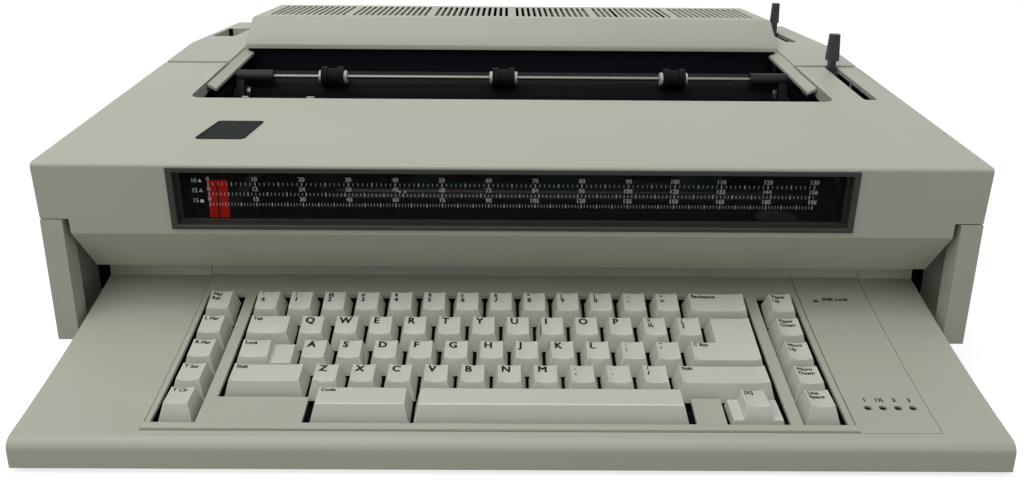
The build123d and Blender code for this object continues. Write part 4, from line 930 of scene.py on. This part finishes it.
@dataclass
class Keyboard:
    """Key caps with their legends, the lamps beside them and the plates below.

    Args:
        pitch: Distance between keys.
        cap_inset: From the end of a key's share of the row to its top.
        cap_reach: From a key's middle to the rear end of its cap.
        cap_height: Height of a cap.
        row_radius: Radius of the arc that the rows stand on.
        row_slope: Tilt of the home row, which is row 2, in degrees.
        home_row: Depth and height of the home row's base.
        left_x: Left end of the main rows.
        columns_x: Middle of the left and of the right column.
    """

    pitch: float = 19.05 * MM
    cap_inset: float = 3.55 * MM
    cap_reach: float = 8.5 * MM
    cap_height: float = 10.4 * MM
    row_radius: float = 284.0 * MM
    row_slope: float = 13.6
    home_row: tuple[float, float] = (-182.4 * MM, 23.3 * MM)
    left_x: float = -149.4 * MM
    columns_x: tuple[float, float] = (-167.0 * MM, 154.3 * MM)

    # Row, left end in pitches and legends of each node in the main rows.
    ROWS = {
        "number_row_keys": (0, 0.0, "°± !1 @2 #3 $4 %5 ¢6 &7 *8 (9 )0 _- +=".split()),
        "upper_row_keys": (1, 1.5, (*"QWERTYUIOP", "¼½", "[]")),
        "home_row_keys": (2, 1.75, (*"ASDFGHJKL", ":;", "\"'")),
        "lower_row_keys": (3, 2.25, (*"ZXCVBNM", ",,", "..", "?/")),
        "backspace_key": (0, 13.0, ("Backspace",)),
        "tab_key": (1, 0.0, ("Tab",)),
        "lock_key": (2, 0.0, ("Lock",)),
        "left_shift_key": (3, 0.0, ("Shift",)),
        "right_shift_key": (3, 12.25, ("Shift",)),
        "code_key": (4, 2.5, ("Code",)),
        "return_key": (2, 12.75, ("C Rtn",)),
        "correction_key": (4, 13.75, ("[X]",)),
    }
    # Keys of the left and the right column, from the rear, with their legends.
    COLUMNS = (
        {
            "margin_release_key": "Mar|Rel",
            "left_margin_key": "L Mar",
            "right_margin_key": "R Mar",
            "tab_set_key": "T Set",
            "tab_clear_key": "T Clr",
        },
        {
            "paper_up_key": "Paper|Up",
            "paper_down_key": "Paper|Down",
            "micro_up_key": "Micro|Up",
            "micro_down_key": "Micro|Down",
            "line_space_key": "Line|Space",
        },
    )
    HOME_ROW = 2
    # Height, indent and base line's drop of each kind of print, in millimetres.
    LETTER = (4.3, 1.5, 5.3)
    SIGNS = ((2.2, 1.8, 3.1), (3.0, 1.8, 7.1))
    WORD = (2.3, 1.0, 3.1)
    LAMPS = ((179.3, "1"), (186.9, "1½"), (194.5, "2"), (202.1, "3"))
    LAMP_YZ, LAMP_UP, LAMP_SIZE = (-215.4, 25.0), Vector((0, 0.984, 0.177)), 2.5 * MM
    LOCK_SPOT = Vector((181.9, -136.8, 42.0)) * MM
    LOCK_UP, LOCK_SIZE = Vector((0, 0.965, 0.262)), 2.6 * MM

    def dressings(self) -> list[Dressing]:
        """List the keyboard's nodes with their finishes."""
        caps = [*self.ROWS, *self.COLUMNS[0], *self.COLUMNS[1], "space_bar"]
        made = [Dressing(name, KEY_CAP, 0.6 * MM, KEY_EDGE_HIGHLIGHT, 3) for name in caps]
        return made + [Dressing("key_plate", DARK_STEEL_AND_SHADE), Dressing("indicator_lamps", LENS, 0.2 * MM)]

    def cap_plane(self, row: float, left: float) -> Matrix:
        """Plane over a key's top, at the rear end of its left edge.

        Args:
            row: The key's row, counted from the rear.
            left: Left end of the key's share of the row.

        Returns:
            A matrix whose Y runs to the rear and Z along the key's travel.
        """
        home = math.radians(self.row_slope)
        tilt = home + (self.HOME_ROW - row) * self.pitch / self.row_radius
        y = self.home_row[0] + self.row_radius * (math.sin(tilt) - math.sin(home))
        z = self.home_row[1] + self.row_radius * (math.cos(home) - math.cos(tilt))
        up = Vector((0, math.cos(tilt), math.sin(tilt)))
        out = Vector((0, -math.sin(tilt), math.cos(tilt)))
        spot = Vector((left + self.cap_inset, y, z)) + up * self.cap_reach + out * self.cap_height
        return plane(spot, RIGHT, up)

    def engrave(self, sheet: Lettering, text: str, place: Matrix) -> None:
        """Print one key's legend in the rear left corner of its top.

        Args:
            sheet: The print that it joins.
            text: The legend: a letter, two signs, or words with a bar between lines.
            place: The corner's plane.
        """
        if len(text) == 1:
            prints = [(text, *self.LETTER)]
        elif len(text) == 2:
            prints = [(sign, *form) for sign, form in zip(text, self.SIGNS)]
        else:
            size, indent, drop = self.WORD
            words = enumerate(text.split("|"), start=1)
            prints = [(word, size, indent, drop * line) for line, word in words]
        for words, size, indent, drop in prints:
            corner = Matrix.Translation((indent * MM, -drop * MM, 0))
            sheet.write(words, size * MM, place @ corner)

    def legends(self, frame: Frame) -> list[Piece]:
        """Print every key.


        Returns:
            One print for each node of keys.
        """
        made = []
        places: dict[str, list[tuple[str, Matrix]]] = {}
        for name, (row, start, legends) in self.ROWS.items():
            lefts = [self.left_x + (start + index) * self.pitch for index in range(len(legends))]
            places[name] = [(text, self.cap_plane(row, left)) for text, left in zip(legends, lefts)]
        for middle, column in zip(self.columns_x, self.COLUMNS):
            for row, (name, text) in enumerate(column.items()):
                places[name] = [(text, self.cap_plane(row, middle - self.pitch / 2))]
        for name, keys in places.items():
            sheet = Lettering(node_surface(frame, name))
            for text, place in keys:
                self.engrave(sheet, text, place)
            made.append(sheet.finish(f"{name}_legends", frame["nodes"][name]["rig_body"], KEY_INK))
        return made

    def lamp_labels(self, frame: Frame) -> Piece:
        """Print the numbers over the lamps and the words beside the upper lamp.


        Returns:
            The print.
        """
        sheet = Lettering(node_surface(frame, "indicator_panel"))
        for x, number in self.LAMPS:
            place = plane(Vector((x, *self.LAMP_YZ)) * MM, RIGHT, self.LAMP_UP)
            sheet.write(number, self.LAMP_SIZE, place, centred=True)
        sheet.write("Shift Lock", self.LOCK_SIZE, plane(self.LOCK_SPOT, RIGHT, self.LOCK_UP))
        return sheet.finish("lamp_labels", "base", KEY_INK)


@dataclass
class PaperPath:
    """Platen, paper bail, feed rollers and the two levers.

    Args:
        roller_x: Middles of the bail's rollers.
        roller_half: Half of the length of a roller's rubber.
    """

    TOLERANCE = 0.01 * MM

    roller_x: tuple[float, ...] = (-133.5 * MM, -6.5 * MM, 120.5 * MM)
    roller_half: float = 8.2 * MM

    def is_flange(self, middle: Vector, _: Vector) -> bool:
        """Whether a face of the bail's rollers is on a white flange."""
        return min(abs(middle.x - x) for x in self.roller_x) > self.roller_half + self.TOLERANCE

    def dressings(self) -> list[Dressing]:
        """List the paper path's nodes with their finishes."""
        return [
            Dressing("platen_roller", RUBBER, 0.6 * MM),
            Dressing("platen_shaft", STEEL),
            Dressing("paper_pan", DARK_STEEL_AND_SHADE),
            Dressing("feed_rollers", RUBBER, 0.4 * MM),
            Dressing("feed_pinion", NYLON),
            Dressing("bail_rod", CHROME),
            Dressing("bail_arms", DARK, 0.8 * MM),
            Dressing("bail_rollers", RUBBER, 0.6 * MM, parts=((NYLON, self.is_flange),)),
            Dressing("bail_lever", LEVER, 0.7 * MM),
            Dressing("release_lever", LEVER, 0.6 * MM),
        ]


@dataclass
class PrintUnit:
    """Carrier with its wheel, hammer and ribbon, and the drive that moves it.

    Args:
        cartridge_top: Height of the ribbon cartridge's top.
        cartridge_x: Middle of the cartridge.
        tabs: Middle and width of each tall white tab on the cartridge.
        tab_y: Where the tabs stand.
        tab_height: Their height.
        tab_thickness: Their thickness.
        ribs_x: First rib of each group of grip ribs, from the cartridge's middle.
        ribs_y: Middle of the ribs.
        ribs: Number of ribs in a group.
        rib_pitch: Distance between ribs.
    """

    RIB = Vector((0.9, 14, 1.0)) * MM
    ABOVE_TOP = 0.3 * MM

    cartridge_top: float = 110.0 * MM
    cartridge_x: float = -166.0 * MM
    tabs: tuple[tuple[float, float], ...] = ((-178.4 * MM, 4.0 * MM), (-135.0 * MM, 5.0 * MM))
    tab_y: float = -30.0 * MM
    tab_height: float = 26.0 * MM
    tab_thickness: float = 1.2 * MM
    ribs_x: tuple[float, float] = (-28.0 * MM, 16.0 * MM)
    ribs_y: float = -20.0 * MM
    ribs: int = 7
    rib_pitch: float = 2.2 * MM

    def is_tab(self, middle: Vector, _: Vector) -> bool:
        """Whether a face of the cartridge is on a white tab."""
        return middle.z > self.cartridge_top + self.ABOVE_TOP

    def dressings(self) -> list[Dressing]:
        """List the print unit's nodes with their finishes."""
        return [
            Dressing("carrier_rails", OILED),
            Dressing("carrier_frame", DARK, 0.6 * MM),
            Dressing("print_wheel", CASE),
            Dressing("print_hammer", STEEL),
            Dressing("ribbon_cartridge", DARK, 0.6 * MM, parts=((NYLON, self.is_tab),)),
            Dressing("drive_belt", RUBBER),
            Dressing("drive_pulley", CASE, 0.3 * MM),
            Dressing("idler_pulley", CASE, 0.3 * MM),
        ]

    def white_tabs(self) -> Piece:
        """Make the white tabs that show just over the front rim of the opening.

        Returns:
            The tabs as one piece.
        """
        rows = []
        middle_z = self.cartridge_top + self.tab_height / 2
        for x, width in self.tabs:
            size = Vector((width, self.tab_height, self.tab_thickness))
            place = plane(Vector((x, self.tab_y, middle_z)), RIGHT, UP)
            rows.append(RowTree().row(size, place))
        return join("white_tabs", "carrier", rows, NYLON)

    def cartridge_ribs(self) -> Piece:
        """Make the grip ribs on the ribbon cartridge's top.

        Returns:
            The ribs as one piece.
        """
        rows = []
        for x in self.ribs_x:
            place = plane(Vector((self.cartridge_x + x, self.ribs_y, self.cartridge_top)))
            rows.append(RowTree().row(self.RIB, place, self.ribs, self.rib_pitch))
        return join("cartridge_ribs", "carrier", rows, DARK)


@dataclass
class Inside:
    """Frames, boards, motors and the mains parts.

    Args:
        slots_x: Left end of the rows of slots on the power supply.
        slots_y: Middle of each row.
        slots_z: Height of the power supply's lid.
        slots: Number of slots in a row.
        slot_pitch: Distance between slots.
        chips_z: Height over which the main board's faces are those of its chips.
    """

    # Size of a dark strip painted as the shade inside a cooling slot.
    SLOT = Vector((2.4, 30, 0.1)) * MM

    slots_x: float = -198.0 * MM
    slots_y: tuple[float, float] = (135.0 * MM, 175.0 * MM)
    slots_z: float = 66.0 * MM
    slots: int = 15
    slot_pitch: float = 6.1 * MM
    chips_z: float = 15.8 * MM

    def is_chip(self, middle: Vector, _: Vector) -> bool:
        """Whether a face of the boards is on a chip of the main board."""
        return middle.y > 0 and middle.z > self.chips_z

    def dressings(self) -> list[Dressing]:
        """List the inner nodes with their finishes."""
        return [
            Dressing("side_frames", DARK_STEEL_AND_SHADE),
            Dressing("circuit_boards", BOARD, parts=((CHIP, self.is_chip),)),
            Dressing("drive_motors", CASE, 0.4 * MM),
            Dressing("power_supply", CASE, 0.6 * MM),
            Dressing("power_inlet", DARK, 0.3 * MM),
            Dressing("power_switch", DARK, 0.4 * MM),
        ]

    def supply_slots(self) -> Piece:
        """Make dark strips on the power supply's lid, painted shade standing for its cooling slots.

        Returns:
            The strips as one piece.
        """
        rows = []
        for y in self.slots_y:
            place = plane(Vector((self.slots_x, y, self.slots_z)))
            rows.append(RowTree().row(self.SLOT, place, self.slots, self.slot_pitch))
        return join("supply_slots", "base", rows, CHIP)


@dataclass
class Studio:
    """Pale floor, soft lights and the camera at the photograph's angle.

    Args:
        sensor: Width of the camera's sensor, in millimetres.
        focal_px: Focal length in pixels of the 1024 pixel wide picture.
        shift: Vertical shift of the picture, as a share of its width.
        position: Place of the camera.
        pitch: How far the camera looks down, in degrees.
        yaw: How far it looks to the left, in degrees.
        roll: Its turn about its own axis, in degrees.
    """

    PHOTO_WIDTH = 1024
    AIM = Vector((0, 0, 0.08))
    # Name, place, length of the side and power in watts of each light.
    LIGHTS = (
        ("top_light", (-0.40, -0.50, 1.65), 1.5, 18.0),
        ("front_light", (-1.15, -1.25, 0.75), 1.0, 0.9),
    )
    FLOOR_SIZE, FLOOR_COLOUR, FLOOR_ROUGHNESS, FLOOR_LIFT = 12.0, (0.45, 0.45, 0.45, 1), 0.9, 0.76
    DIM, BRIGHT = 0.36, 1.0
    WHITE = (1, 1, 1, 1)

    sensor: float = 36.0
    focal_px: float = 890.0
    shift: float = -0.08
    position: tuple[float, float, float] = (-0.0042, -0.6101, 0.2732)
    pitch: float = 17.35
    yaw: float = -0.40
    roll: float = 0.49

    def camera(self) -> None:
        """Make the camera."""
        data = bpy.data.cameras.new("camera")
        data.sensor_width = self.sensor
        data.lens = self.focal_px * self.sensor / self.PHOTO_WIDTH
        data.shift_y = self.shift
        camera = add_object("camera", data)
        turn = (
            Matrix.Rotation(math.radians(self.yaw), 3, "Z")
            @ Matrix.Rotation(math.radians(90 - self.pitch), 3, "X")
            @ Matrix.Rotation(math.radians(self.roll), 3, "Z")
        )
        camera.matrix_world = Matrix.Translation(self.position) @ turn.to_4x4()
        bpy.context.scene.camera = camera

    def softbox(self, name: str, place: Vector, size: float, power: float) -> None:
        """Add a square area light that faces the machine.

        Args:
            name: Name of the light.
            place: Where it stands.
            size: Length of its side.
            power: Its power in watts.
        """
        data = bpy.data.lights.new(name, "AREA")
        data.size = size
        data.energy = power
        lamp = add_object(name, data)
        turn = (self.AIM - place).to_track_quat("-Z", "Y")
        lamp.matrix_world = Matrix.Translation(place) @ turn.to_matrix().to_4x4()

    def floor(self) -> None:
        """Lay the pale floor, which keeps the machine's shadow."""
        shape = bmesh.new()
        bmesh.ops.create_grid(shape, x_segments=1, y_segments=1, size=self.FLOOR_SIZE)
        mesh = bpy.data.meshes.new("floor")
        shape.to_mesh(mesh)
        shape.free()
        ground = add_object("floor", mesh)
        made = bpy.data.materials.new("floor_paper")
        made.use_nodes = True
        nodes, links = made.node_tree.nodes, made.node_tree.links
        shader = nodes["Principled BSDF"]
        fill(shader, {"Base Color": self.FLOOR_COLOUR, "Roughness": self.FLOOR_ROUGHNESS})
        fill(shader, {"Emission Color": self.WHITE})
        path = nodes.new("ShaderNodeLightPath")
        lift = nodes.new("ShaderNodeMath")
        lift.operation = "MULTIPLY"
        fill(lift, {1: self.FLOOR_LIFT})
        links.new(path.outputs["Is Camera Ray"], lift.inputs[0])
        links.new(lift.outputs["Value"], shader.inputs["Emission Strength"])
        mesh.materials.append(made)

    def world(self) -> None:
        """Make the surroundings: dim for the light, white for what sees them."""
        world = bpy.data.worlds.new("studio")
        world.use_nodes = True
        bpy.context.scene.world = world
        nodes, links = world.node_tree.nodes, world.node_tree.links
        back = nodes["Background"]
        fill(back, {"Color": self.WHITE})
        path = nodes.new("ShaderNodeLightPath")
        seen = path.outputs["Is Camera Ray"]
        for ray in ("Is Transmission Ray", "Is Glossy Ray"):
            either = nodes.new("ShaderNodeMath")
            either.operation = "MAXIMUM"
            links.new(seen, either.inputs[0])
            links.new(path.outputs[ray], either.inputs[1])
            seen = either.outputs["Value"]
        level = nodes.new("ShaderNodeMapRange")
        fill(level, {"To Min": self.DIM, "To Max": self.BRIGHT})
        links.new(seen, level.inputs["Value"])
        links.new(level.outputs["Result"], back.inputs["Strength"])

    def build(self) -> None:
        """Set up the whole studio."""
        self.camera()
        self.floor()
        self.world()
        for name, place, size, power in self.LIGHTS:
            self.softbox(name, Vector(place), size, power)


def main() -> None:
    """Build the typewriter's looks round its frame."""
    logging.basicConfig(level=logging.INFO, format="%(message)s")
    bpy.context.scene.view_settings.view_transform = "Standard"
    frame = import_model()
    Studio().build()
    enclosure = Enclosure(frame)
    housing, window, keyboard = Housing(), ScaleWindow(), Keyboard()
    paper_path, print_unit, inside = PaperPath(), PrintUnit(), Inside()
    pieces = []
    for group in (housing, window, keyboard, paper_path, print_unit, inside):
        pieces += [item.build(frame, enclosure) for item in group.dressings()]
    pieces += [housing.plate(frame), housing.screw_recesses(frame), *window.scales()]
    pieces += [*keyboard.legends(frame), keyboard.lamp_labels(frame), window.pointer_line()]
    pieces += [print_unit.white_tabs(), print_unit.cartridge_ribs(), inside.supply_slots()]
    for piece in pieces:
        LOG.info("%s: %d faces", piece.name, len(piece.data.polygons))


if __name__ == "__main__":
    main()
